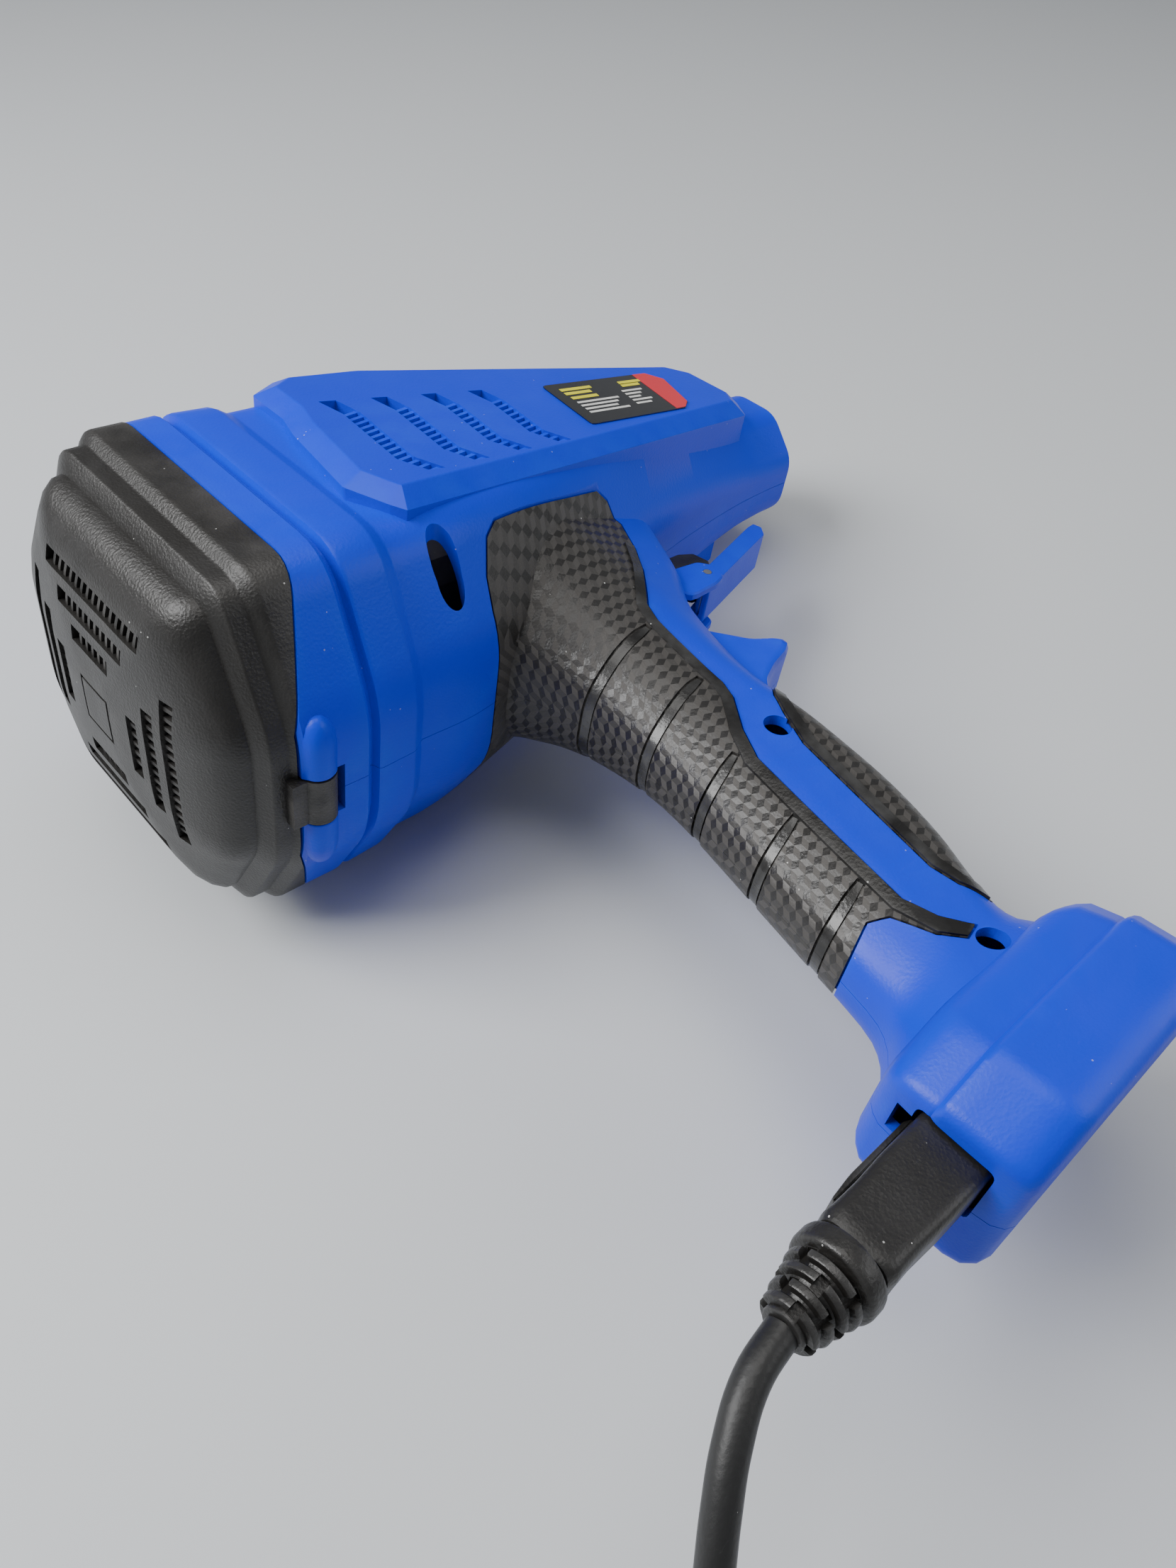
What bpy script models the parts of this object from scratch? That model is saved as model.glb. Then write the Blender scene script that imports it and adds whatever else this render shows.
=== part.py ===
"""Corded electric sprayer power unit: blower body, grip, foot, rear filter cover and mains lead.

Tool frame: +X towards the air outlet, +Y away from the grip, +Z the right side.
The tool lies flat on its raised left side panel, so the nose dips by the slope of that panel.
"""
import bmesh
import bpy
import math
from mathutils import Matrix, Vector

MM = 0.001

# ---- driving dimensions, millimetres, tool frame ----
PANEL_SLOPE = 0.15
DIP = math.atan(PANEL_SLOPE)
FRAME_AT = (-117.67, 95.0, 70.21)
WALL = 1.8
SPLIT_GAP = 0.15
RUBBER = 1.6
CLEAR = 0.3

# body sections: x, centre y, half height up, half height down, half width, flat side share, flat end share
BODY = [
    (0.0, 0.0, 64.0, 64.0, 60.0, 0.68, 0.37),
    (38.0, 0.0, 63.4, 63.4, 59.4, 0.68, 0.37),
    (41.0, 0.0, 60.5, 60.5, 57.4, 0.68, 0.38),
    (62.0, 0.0, 60.0, 60.0, 57.4, 0.66, 0.39),
    (90.0, 1.0, 57.0, 55.0, 54.2, 0.64, 0.40),
    (120.0, 3.0, 51.5, 47.0, 49.7, 0.62, 0.41),
    (150.0, 5.5, 45.5, 39.5, 45.0, 0.60, 0.42),
    (180.0, 7.5, 39.5, 33.5, 40.0, 0.56, 0.42),
    (210.0, 8.5, 33.5, 28.5, 33.5, 0.50, 0.42),
    (235.0, 9.0, 26.5, 25.0, 26.0, 0.44, 0.42),
    (262.0, 9.0, 24.0, 24.0, 24.0, 0.414, 0.414),
]
# grip sections: y, rear x, front x, half thickness, flat share
GRIP = [
    (-20.0, 92.0, 170.0, 25.0, 0.55),
    (-45.0, 84.0, 163.0, 27.0, 0.55),
    (-60.0, 80.0, 155.0, 26.5, 0.55),
    (-75.0, 83.5, 145.0, 24.0, 0.52),
    (-90.0, 86.0, 139.0, 21.5, 0.50),
    (-107.0, 85.5, 135.5, 19.5, 0.48),
    (-125.0, 84.5, 135.5, 18.5, 0.50),
    (-145.0, 80.5, 134.0, 18.2, 0.52),
    (-165.0, 77.0, 130.5, 18.2, 0.52),
    (-185.0, 73.5, 125.0, 18.2, 0.50),
    (-202.0, 70.5, 118.5, 18.4, 0.46),
    (-212.0, 63.0, 121.0, 20.0, 0.48),
    (-219.0, 52.0, 128.0, 22.0, 0.50),
]
# foot sections: y, rear x, front x, half width, flat share
FOOT = [
    (-216.0, 49.5, 131.0, 22.5, 0.60),
    (-220.0, 47.5, 133.5, 25.0, 0.64),
    (-229.0, 47.0, 135.0, 26.5, 0.66),
    (-230.5, 46.5, 136.0, 28.5, 0.68),
    (-247.0, 46.5, 137.0, 29.5, 0.68),
    (-252.0, 48.5, 134.5, 27.5, 0.66),
    (-254.0, 52.0, 130.0, 24.0, 0.62),
]
PANEL = [(50.0, 36.0), (62.0, 45.0), (90.0, 47.5), (228.0, 36.0), (240.0, 27.0), (241.0, 4.0), (234.0, -7.0), (50.0, -37.0)]
PANEL_Z0, PANEL_X0 = 60.5, 70.0
VENT_X = (66.5, 85.0, 104.0, 123.0)
RUBBER_SIDE = [(70.0, -84.0), (69.0, -54.0), (75.0, -42.0), (137.5, -28.0), (141.5, -35.0), (130.0, -56.0), (123.0, -64.0),
               (116.5, -71.5), (114.8, -107.0), (104.5, -123.5), (99.6, -134.0), (90.2, -190.0), (97.0, -206.5),
               (92.0, -205.0), (86.0, -191.0), (82.0, -185.0), (60.0, -192.0), (60.0, -130.0)]
RUBBER_FRONT = [(132.0, -113.0), (126.0, -121.0), (117.5, -136.0), (107.5, -187.0), (108.5, -196.0), (113.0, -203.0),
                (150.0, -202.0), (150.0, -113.0)]
HOOK = [(128.0, -76.0), (140.0, -79.0), (148.0, -88.0), (157.0, -93.5), (159.0, -97.0), (156.5, -100.5), (147.0, -103.0),
        (138.0, -106.5), (132.0, -112.0), (120.0, -112.0), (118.0, -80.0)]
SCREWS = [(57.5, -49.0, 33.0, 4.2), (56.0, 51.3, 29.5, 4.2), (115.0, -127.5, 15.2, 3.2), (96.5, -211.0, 18.0, 3.2)]
NOSE_Y = 9.0

# cover sections: x, half height, half width, flat side share, flat end share
COVER = [
    (12.0, 63.6, 59.6, 0.68, 0.37),
    (-1.0, 63.6, 59.6, 0.68, 0.37),
    (-4.5, 61.0, 57.0, 0.68, 0.37),
    (-8.0, 61.0, 57.0, 0.68, 0.37),
    (-11.5, 57.5, 53.5, 0.67, 0.38),
    (-17.0, 51.5, 47.5, 0.66, 0.40),
    (-21.0, 43.0, 39.0, 0.64, 0.42),
    (-24.0, 30.0, 27.0, 0.60, 0.42),
    (-25.5, 14.0, 12.5, 0.56, 0.42),
]
HINGE = (6.0, -61.6)
MOTOR_Y = 1.5
VENT_HALF = 2.4
HEAD_Z = 5.0
OUTLET_R = 20.0
GRILLE = ((36.0, 25.0), (28.0, 17.5), (20.0, 10.0))
INLET_Y, INLET_Z = -235.5, 5.6
LEVER_PIVOT = (166.5, -54.6)
LEVER_RISE = 17.0
EAR = [(150.0, -46.0), (168.0, -48.0), (171.5, -52.0), (170.5, -59.0), (165.0, -61.0), (150.0, -62.0)]

# mains lead, millimetres, table frame
LEAD_R = 3.75
LEAD_ROUTE = [(-137.0, -143.5, 76.5), (-145.0, -147.5, 74.0), (-152.0, -152.5, 69.5), (-160.5, -159.5, 61.5), (-171.0, -168.0, 49.0),
              (-181.0, -176.0, 35.0), (-191.0, -184.0, 21.5), (-202.5, -192.0, 10.5), (-216.0, -198.5, 5.0), (-230.0, -202.4, 4.1),
              (-246.0, -203.6, 4.0)]
COIL_AT = (-246.0, -258.0)
COIL_R, COIL_WIDE, COIL_HIGH = 40.0, 10.5, 10.0
TAIL_ROUTE = [(-231.9, -310.8, 4.0), (-220.0, -308.8, 4.0), (-207.0, -308.4, 4.0), (-194.0, -308.8, 4.1), (-181.0, -308.4, 4.8),
              (-168.0, -307.2, 6.2), (-154.0, -305.8, 7.6), (-141.0, -305.4, 7.9)]
PLUG_AT = (-140.6, -305.4, 7.9)
TIE_TURN = 215.0

BLUE = (0.010, 0.085, 0.72, 1)
BLACK = (0.03, 0.027, 0.025, 1)
RUBBER_GREY = (0.06, 0.057, 0.055, 1)
STEEL = (0.62, 0.62, 0.64, 1)
BRASS = (0.75, 0.55, 0.22, 1)
COPPER = (0.72, 0.36, 0.18, 1)
GREEN = (0.02, 0.22, 0.10, 1)
WHITE = (0.75, 0.75, 0.72, 1)

for old in list(bpy.data.objects):
    bpy.data.objects.remove(old, do_unlink=True)

tool = bpy.data.objects.new("tool_frame", None)
tool.location = [value * MM for value in FRAME_AT]
tool.rotation_euler = (0, DIP, 0)
bpy.context.scene.collection.objects.link(tool)
TO_TABLE = Matrix.Translation(Vector(FRAME_AT)) @ Matrix.Rotation(DIP, 4, "Y")


# ---- building blocks ----
def make(name, verts, faces, pivot=(0, 0, 0), parent=tool):
    """One closed solid from millimetre points; its origin sits at the pivot."""
    mesh = bpy.data.meshes.new(name)
    mesh.from_pydata([(Vector(v) - Vector(pivot)) * MM for v in verts], [], faces)
    bm = bmesh.new()
    bm.from_mesh(mesh)
    bmesh.ops.recalc_face_normals(bm, faces=bm.faces)
    bm.to_mesh(mesh)
    bm.free()
    obj = bpy.data.objects.new(name, mesh)
    bpy.context.scene.collection.objects.link(obj)
    obj.parent = parent
    obj.location = Vector(pivot) * MM
    return obj


def loft(name, rings, pivot=(0, 0, 0), parent=tool):
    """Skin through rings of equal point count, closed with flat ends."""
    count = len(rings[0])
    verts = [point for ring in rings for point in ring]
    faces = []
    for level in range(len(rings) - 1):
        a = level * count
        for i in range(count):
            j = (i + 1) % count
            faces.append((a + i, a + j, a + count + j, a + count + i))
    faces.append(tuple(range(count)))
    faces.append(tuple(range(len(verts) - count, len(verts))))
    return make(name, verts, faces, pivot, parent)


def prism(name, outline, axis, low, high, pivot=(0, 0, 0), parent=tool):
    """Flat outline pushed along one axis between two levels."""
    def place(p, level):
        return {"x": (level, p[0], p[1]), "y": (p[0], level, p[1]), "z": (p[0], p[1], level)}[axis]
    return loft(name, [[place(p, level) for p in outline] for level in (low, high)], pivot, parent)


def block(name, low, high, pivot=(0, 0, 0), parent=tool):
    outline = [(low[0], low[1]), (high[0], low[1]), (high[0], high[1]), (low[0], high[1])]
    return prism(name, outline, "z", low[2], high[2], pivot, parent)


def turned(name, start, direction, profile, sides, pivot=None, parent=tool):
    """Turned solid: profile is (distance along, radius); a ring when it never meets the axis."""
    axis = Vector(direction).normalized()
    side = axis.orthogonal().normalized()
    across = axis.cross(side)
    start = Vector(start)
    verts, rows = [], []
    for along, radius in profile:
        if radius < 1e-6:
            rows.append([len(verts)])
            verts.append(start + axis * along)
            continue
        rows.append(range(len(verts), len(verts) + sides))
        for i in range(sides):
            turn = 2 * math.pi * (i + 0.5) / sides
            verts.append(start + axis * along + (side * math.cos(turn) + across * math.sin(turn)) * radius)
    faces = []
    closed = all(len(row) > 1 for row in rows)
    for k in range(len(rows) if closed else len(rows) - 1):
        a, b = rows[k], rows[(k + 1) % len(rows)]
        for i in range(sides):
            j = (i + 1) % sides
            quad = [a[i % len(a)], a[j % len(a)], b[j % len(b)], b[i % len(b)]]
            face = list(dict.fromkeys(quad))
            if len(face) > 2:
                faces.append(face)
    return make(name, verts, faces, start if pivot is None else pivot, parent)


def rod(name, start, direction, length, radius, sides=16, pivot=None, parent=tool):
    return turned(name, start, direction, [(0, 0), (0, radius), (length, radius), (length, 0)], sides, pivot, parent)


def tube(name, start, direction, length, outer, inner, sides=24, pivot=None, parent=tool):
    return turned(name, start, direction, [(0, inner), (0, outer), (length, outer), (length, inner)], sides, pivot, parent)


def combine(target, tools, mode):
    """Join, cut or keep the overlap with each tool shape, then clear the tools away."""
    for other in tools:
        step = target.modifiers.new(mode.lower(), "BOOLEAN")
        step.operation = mode
        step.solver = "EXACT"
        step.object = other
        bpy.context.view_layer.update()
        solved = bpy.data.meshes.new_from_object(target.evaluated_get(bpy.context.evaluated_depsgraph_get()))
        target.modifiers.remove(step)
        target.data = solved
        bpy.data.objects.remove(other, do_unlink=True)
    clean(target)
    return target


def clean(obj):
    bm = bmesh.new()
    bm.from_mesh(obj.data)
    bmesh.ops.remove_doubles(bm, verts=bm.verts, dist=2e-6)
    bm.to_mesh(obj.data)
    bm.free()


def copy_of(obj, name):
    twin = obj.copy()
    twin.data = obj.data.copy()
    twin.name = name
    bpy.context.scene.collection.objects.link(twin)
    return twin


def finish(obj, colour, rough=0.45, metal=0.0):
    """Own material for one node."""
    material = bpy.data.materials.new(obj.name)
    material.use_nodes = True
    shader = material.node_tree.nodes["Principled BSDF"]
    shader.inputs["Base Color"].default_value = colour
    shader.inputs["Roughness"].default_value = rough
    shader.inputs["Metallic"].default_value = metal
    obj.data.materials.clear()
    obj.data.materials.append(material)
    return obj


# ---- sections ----
def soften(points, share, steps):
    """Round every corner of a closed outline by the same share of its shorter side."""
    count = len(points)
    out = []
    for i in range(count):
        corner, before, after = Vector(points[i]), Vector(points[i - 1]), Vector(points[(i + 1) % count])
        reach = share * 0.5 * min((before - corner).length, (after - corner).length)
        a = corner + (before - corner).normalized() * reach
        b = corner + (after - corner).normalized() * reach
        for k in range(steps + 1):
            t = k / steps
            out.append(tuple(a * (1 - t) ** 2 + corner * 2 * t * (1 - t) + b * t * t))
    return out


def widen(outline, step):
    """Move every side of a closed outline outwards by one step."""
    area = sum(a[0] * b[1] - b[0] * a[1] for a, b in zip(outline, outline[1:] + outline[:1]))
    sign = 1 if area > 0 else -1
    out = []
    for i, corner in enumerate(outline):
        before, here, after = Vector(outline[i - 1]), Vector(corner), Vector(outline[(i + 1) % len(outline)])
        first, second = (here - before).normalized(), (after - here).normalized()
        n1, n2 = Vector((first.y, -first.x)) * sign, Vector((second.y, -second.x)) * sign
        out.append(tuple(here + (n1 + n2) * step / (1 + n1.dot(n2))))
    return out


def octagon(centre, up, down, wide, side_flat, end_flat, grow=0.0, steps=1):
    up, down, wide = up + grow, down + grow, wide + grow
    points = [(centre - down, -wide * end_flat), (centre - down * side_flat, -wide), (centre + up * side_flat, -wide),
              (centre + up, -wide * end_flat), (centre + up, wide * end_flat), (centre + up * side_flat, wide),
              (centre - down * side_flat, wide), (centre - down, wide * end_flat)]
    return soften(points, 0.62, steps)


def body_rings(grow=0.0, first=0.0, last=999.0):
    return [[(x, p[0], p[1]) for p in octagon(yc, up, down, wide, fs, fe, grow)]
            for x, yc, up, down, wide, fs, fe in BODY if first <= x <= last]


def bar_ring(y, rear, front, half, flat, grow=0.0):
    middle, depth = (rear + front) / 2, (front - rear) / 2
    outline = octagon(middle, depth, depth, half, flat, flat, grow)
    return [(p[0], y, p[1]) for p in outline]


def bar_rings(table, grow=0.0):
    return [bar_ring(y, rear, front, half, flat, grow) for y, rear, front, half, flat in table]


def panel_z(x):
    return PANEL_Z0 - PANEL_SLOPE * (x - PANEL_X0)


# ---- housing halves and rubber ----
def outer_shape():
    shape = loft("outer", body_rings())
    joined = [loft("grip", bar_rings(GRIP)), loft("foot", bar_rings(FOOT)), prism("hook", HOOK, "z", -12.5, 12.5),
              raised_panel(1), raised_panel(-1)]
    combine(shape, joined, "UNION")
    return combine(shape, [rear_wedge(0.0)], "DIFFERENCE")


def raised_panel(side):
    top = [(x, y, side * panel_z(x)) for x, y in PANEL]
    spread = [(x + (1.5 if x > 200 else -1.5), y + (2.5 if y > 0 else -2.5)) for x, y in PANEL]
    low = [(x, y, side * (panel_z(x) - 3.2)) for x, y in spread]
    root = [(x, y, side * (panel_z(x) - 16.0)) for x, y in spread]
    return loft("panel", [root, low, top])


def chevron(x, side):
    """One dog-leg vent slot cut through the side wall."""
    low = -24.5 + 0.13 * (x - 66.5)
    line = [(x - 1.0, 22.0), (x + 1.5, 13.0), (x - 1.0, low + 8.0), (x + 4.0, low)]
    outline = [(px - VENT_HALF, py) for px, py in line] + [(px + VENT_HALF, py) for px, py in reversed(line)]
    return prism("vent", outline, "z", *sorted((side * 38.0, side * 75.0)))


def rear_wedge(gap):
    """Space behind the rim, which leans forward on both flanks."""
    rim = [(16.4, -82), (12.3, -60.0), (0.3, -24.0), (0.3, 24.0), (12.3, 60.0), (16.4, 82)]
    outline = [(-80, -82)] + [(x - gap, z) for x, z in rim] + [(-80, 82)]
    return prism("wedge", outline, "y", -100, 100)


def grip_core(inset):
    core = loft("core", body_rings(-inset, first=40.0, last=236.0))
    return combine(core, [loft("grip", bar_rings(GRIP, -inset)), loft("foot", bar_rings(FOOT[:3], -inset))], "UNION")


def inside():
    """Hollow for the motor, the air path, the switch and the wiring."""
    inset = WALL + RUBBER
    room = loft("room", [[(-10.0, p[1], p[2]) for p in body_rings(-inset)[0]]] + body_rings(-inset, last=211.0))
    shaft = loft("shaft", bar_rings(GRIP[:-1] + [(-226.0, 66.0, 118.0, 19.0, 0.48)], -inset))
    well = loft("well", bar_rings([row for row in FOOT if -248 < row[0] < -219], -3.0))
    neck = rod("neck", (200, NOSE_Y, 0), (1, 0, 0), 80, OUTLET_R + 0.4, 24)
    mouth = block("mouth", (40, INLET_Y - 10.2, INLET_Z - 9.2), (60, INLET_Y + 10.2, INLET_Z + 9.2))
    tab = block("tab", (40, INLET_Y + 9, INLET_Z - 4), (56, INLET_Y + 14.2, INLET_Z + 5))
    button = block("button", (148, -47.7, -6.2), (185, -34.3, 6.2))
    lever = block("lever", (161.0, -61.0, -7.8), (185, -49.5, 7.8))
    return [room, shaft, well, neck, mouth, tab, button, lever]


def housing_halves():
    whole = outer_shape()
    rubber = {}
    for label, outline in (("back", RUBBER_SIDE), ("front", RUBBER_FRONT)):
        pad = combine(copy_of(whole, "pad"), [prism("keep", outline, "z", -70, 70)], "INTERSECT")
        rubber[label] = combine(pad, [grip_core(RUBBER - 0.45)], "DIFFERENCE")
    for outline in (RUBBER_SIDE, RUBBER_FRONT):
        recess = combine(prism("recess", widen(outline, 0.15), "z", -80, 80), [grip_core(RUBBER)], "DIFFERENCE")
        combine(whole, [recess], "DIFFERENCE")
    combine(whole, inside(), "DIFFERENCE")
    posts = [rod("post", (x, y, -reach), (0, 0, 1), 2 * reach, sink + 1.4, 8)
             for x, y, reach, sink in SCREWS]
    barrels = [rod("barrel", (*HINGE, z), (0, 0, 1), 18.0, 5.2, 16) for z in (8.2, -26.2)]
    ears = [prism("ear", EAR, "z", *sorted((side * 7.9, side * 11.0))) for side in (1, -1)]
    combine(whole, posts + barrels + ears, "UNION")
    for side in (1, -1):
        combine(whole, [chevron(x, side) for x in VENT_X], "DIFFERENCE")
    holes = [turned("hole", (x, y, -12.0), (0, 0, 1), [(0, 0), (0, 1.8), (HEAD_Z + 12, 1.8), (HEAD_Z + 12, sink), (100, sink), (100, 0)], 10)
             for x, y, reach, sink in SCREWS]
    holes.append(rod("pin", (*HINGE, -40), (0, 0, 1), 64.3, 1.62, 12))
    holes.append(rod("pin", (*LEVER_PIVOT, -14), (0, 0, 1), 28, 1.6, 12))
    holes.append(block("knuckle", (-2, -70, -8.2), (13, -54, 8.2)))
    combine(whole, holes, "DIFFERENCE")
    for label, side in (("right", 1), ("left", -1)):
        near = SPLIT_GAP / 2 * side
        low, high = sorted((near, 95.0 * side))
        half = combine(copy_of(whole, "housing_" + label), [block("half", (-60, -300, low), (320, 120, high))], "INTERSECT")
        finish(half, BLUE, 0.3)
        for where, pad in rubber.items():
            cap = combine(copy_of(pad, f"grip_{where}_{label}"), [block("half", (-60, -300, low), (320, 120, high))],
                          "INTERSECT")
            finish(cap, RUBBER_GREY, 0.6)
    for spare in [whole] + list(rubber.values()):
        bpy.data.objects.remove(spare, do_unlink=True)


def housing_screws():
    for number, (x, y, reach, sink) in enumerate(SCREWS, 1):
        profile = [(0, 0), (0, 1.55), (HEAD_Z + 11.0, 1.55), (HEAD_Z + 11.1, 2.8), (HEAD_Z + 13.2, 2.8), (HEAD_Z + 13.2, 0)]
        finish(turned(f"housing_screw_{number}", (x, y, -11.0), (0, 0, 1), profile, 8), STEEL, 0.35, 1.0)


# ---- rear filter cover ----
def cover_rings(grow=0.0, table=COVER):
    return [[(x, p[0], p[1]) for p in octagon(0.0, up, up, wide, fs, fe, grow)] for x, up, wide, fs, fe in table]


def grille_slot(distance, reach, turn):
    """One straight slot of the square grille, turned to one of its four sides."""
    half = 2.4
    corners = [(distance - half, -reach), (distance + half, -reach), (distance + half, reach), (distance - half, reach)]
    c, s = round(math.cos(turn)), round(math.sin(turn))
    return prism("slot", [(a * c - b * s, a * s + b * c) for a, b in corners], "x", -40, -12)


def filter_cover():
    cover = loft("filter_cover", cover_rings()[::-1])
    combine(cover, [rear_wedge(0.5)], "INTERSECT")
    hollow = [(30.0, 63.6, 59.6, 0.68, 0.37)] + [(x + 2.2, up, wide, fs, fe) for x, up, wide, fs, fe in COVER[1:]]
    combine(cover, [loft("hollow", cover_rings(-2.4, hollow))], "DIFFERENCE")
    combine(cover, [grille_slot(d, reach, math.radians(turn)) for d, reach in GRILLE for turn in (0, 90, 180, 270)],
            "DIFFERENCE")
    barrel = rod("barrel", (*HINGE, -7.7), (0, 0, 1), 15.4, 5.2, 16)
    arm = block("arm", (-7.0, HINGE[1] - 3.8, -7.7), (HINGE[0], HINGE[1] + 1.2, 7.7))
    combine(cover, [barrel, arm], "UNION")
    combine(cover, [rod("pin", (*HINGE, -20), (0, 0, 1), 40, 1.62, 12)], "DIFFERENCE")
    cover.location = Vector((*HINGE, 0)) * MM
    cover.data.transform(Matrix.Translation(-cover.location))
    finish(cover, BLACK, 0.4)
    finish(rod("hinge_pin", (*HINGE, -24.0), (0, 0, 1), 48.0, 1.55, 12), STEEL, 0.3, 1.0)


def filter_parts():
    frame = prism("filter_frame", soften(octagon(0, 55, 55, 51, 0.66, 0.40), 0.3, 1), "x", 14.6, 17.6)
    windows = []
    for row in range(4):
        for column in range(4):
            y, z = -34.5 + 23 * row, -32.4 + 21.6 * column
            windows.append(block("window", (10, y - 9.5, z - 8.8), (22, y + 9.5, z + 8.8)))
    combine(frame, windows, "DIFFERENCE")
    finish(frame, BLACK, 0.5)
    finish(prism("filter_foam", octagon(0, 46, 46, 42, 0.66, 0.40), "x", 1.5, 14.2), (0.09, 0.09, 0.1, 1), 0.95)


# ---- motor, fan and air outlet ----
def motor():
    y = MOTOR_Y
    along = (1, 0, 0)
    case = [(0, 15.0), (0, 42.4), (34.0, 42.4), (34.0, 33.0), (32.0, 33.0), (32.0, 40.4), (2.0, 40.4), (2.0, 15.0)]
    finish(turned("fan_case", (31.0, y, 0), along, case, 24), BLACK, 0.5)
    wheel = [(0, 4.15), (0, 8.0), (11.0, 12.0), (14.0, 37.0), (16.0, 37.0), (18.0, 8.0), (18.0, 4.15)]
    finish(turned("impeller", (37.0, y, 0), along, wheel, 24), (0.7, 0.7, 0.7, 1), 0.4, 1.0)
    finish(rod("impeller_nut", (31.6, y, 0), along, 5.0, 3.2, 6), STEEL, 0.3, 1.0)
    finish(turned("rotor_shaft", (37.0, y, 0), along, [(0, 0), (0, 4.1), (94.0, 4.1), (94.0, 0)], 16), STEEL, 0.25, 1.0)
    finish(tube("motor_can", (68.0, y, 0), along, 50.0, 31.0, 28.5, 24), STEEL, 0.4, 1.0)
    finish(tube("field_core", (76.0, y, 0), along, 32.0, 28.2, 20.5, 24), STEEL, 0.5, 1.0)
    finish(tube("armature", (77.0, y, 0), along, 30.0, 19.8, 4.15, 16), COPPER, 0.4, 1.0)
    finish(tube("commutator", (110.5, y, 0), along, 10.0, 9.0, 4.15, 16), COPPER, 0.3, 1.0)
    finish(tube("bearing_rear", (68.3, y, 0), along, 6.5, 9.5, 4.25, 16), STEEL, 0.3, 1.0)
    finish(tube("bearing_front", (121.5, y, 0), along, 6.5, 9.5, 4.25, 16), STEEL, 0.3, 1.0)
    finish(tube("end_bell_rear", (66.0, y, 0), along, 1.8, 31.0, 6.0, 24), STEEL, 0.4, 1.0)
    bell = [(0, 31.0), (0, 28.0), (3.0, 28.0), (3.0, 9.7), (9.8, 9.7), (9.8, 12.5), (6.0, 12.5), (6.0, 31.0)]
    finish(turned("end_bell_front", (118.3, y, 0), along, bell, 24), BLACK, 0.5)
    for label, side in (("upper", 1), ("lower", -1)):
        low, high = sorted((y + side * 9.3, y + side * 17.0))
        finish(block("brush_" + label, (111.5, low, -2.5), (119.5, high, 2.5)), (0.02, 0.02, 0.02, 1), 0.7)
    ring = [(0, 31.4), (0, 36.5), (7.0, 36.5), (7.0, 31.4)]
    finish(turned("motor_ring", (92.0, y, 0), along, ring, 24), RUBBER_GREY, 0.8)
    nose = [(0, OUTLET_R), (0, OUTLET_R - 2.4), (95.0, OUTLET_R - 2.4), (95.0, OUTLET_R)]
    finish(turned("outlet_tube", (168.0, NOSE_Y, 0), along, nose, 24), BLACK, 0.45)


# ---- button, release lever, switch and wiring ----
def controls():
    finish(block("switch_button", (150.0, -47.0, -5.6), (174.0, -35.0, 5.6), pivot=(150.0, -41.0, 0)), BLACK, 0.4)
    finish(rod("switch_stem", (142.2, -41.0, 0), (1, 0, 0), 7.6, 2.0, 12), STEEL, 0.3, 1.0)
    body = block("switch_body", (114.0, -51.0, -8.0), (146.0, -32.0, 8.0))
    combine(body, [rod("hole", (136.0, -41.0, 0), (1, 0, 0), 20.0, 2.3, 12)], "DIFFERENCE")
    finish(body, BLACK, 0.5)
    a = math.radians(LEVER_RISE)
    out, up = Vector((math.cos(a), math.sin(a))), Vector((-math.sin(a), math.cos(a)))
    pivot = Vector(LEVER_PIVOT)

    def turn(along, rise):
        return tuple(pivot + out * along + up * rise)

    side = [turn(-3, -3.4), turn(44, -3.4), turn(48, -0.5), turn(48, 3.0), turn(44, 3.6), turn(6, 3.6), turn(-3, 3.0)]
    lever = prism("release_lever", side, "z", -7.4, 7.4, pivot=(*LEVER_PIVOT, 0))
    trough = [turn(-8, -1.4), turn(46, -1.4), turn(46, 9), turn(-8, 9)]
    combine(lever, [prism("trough", trough, "z", -5.6, 5.6)], "DIFFERENCE")
    combine(lever, [rod("pin", (*LEVER_PIVOT, -20), (0, 0, 1), 40, 1.55, 12)], "DIFFERENCE")
    finish(lever, BLUE, 0.3)
    finish(rod("lever_pin", (*LEVER_PIVOT, -11.0), (0, 0, 1), 22.0, 1.5, 12), STEEL, 0.3, 1.0)
    finish(block("capacitor", (91.5, -102.0, -6.0), (102.5, -84.0, 6.0)), (0.75, 0.6, 0.1, 1), 0.5)


def wire(name, points, radius, colour, sides=1, parent=tool):
    """Round lead swept along a smooth line."""
    curve = bpy.data.curves.new(name, "CURVE")
    curve.dimensions = "3D"
    curve.bevel_depth = radius * MM
    curve.bevel_resolution = sides
    curve.use_fill_caps = True
    line = curve.splines.new("POLY")
    line.points.add(len(points) - 1)
    for knot, point in zip(line.points, points):
        knot.co = (*(Vector(point) * MM), 1)
    obj = bpy.data.objects.new(name, curve)
    bpy.context.scene.collection.objects.link(obj)
    obj.parent = parent
    return finish(obj, colour, 0.5)


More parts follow.
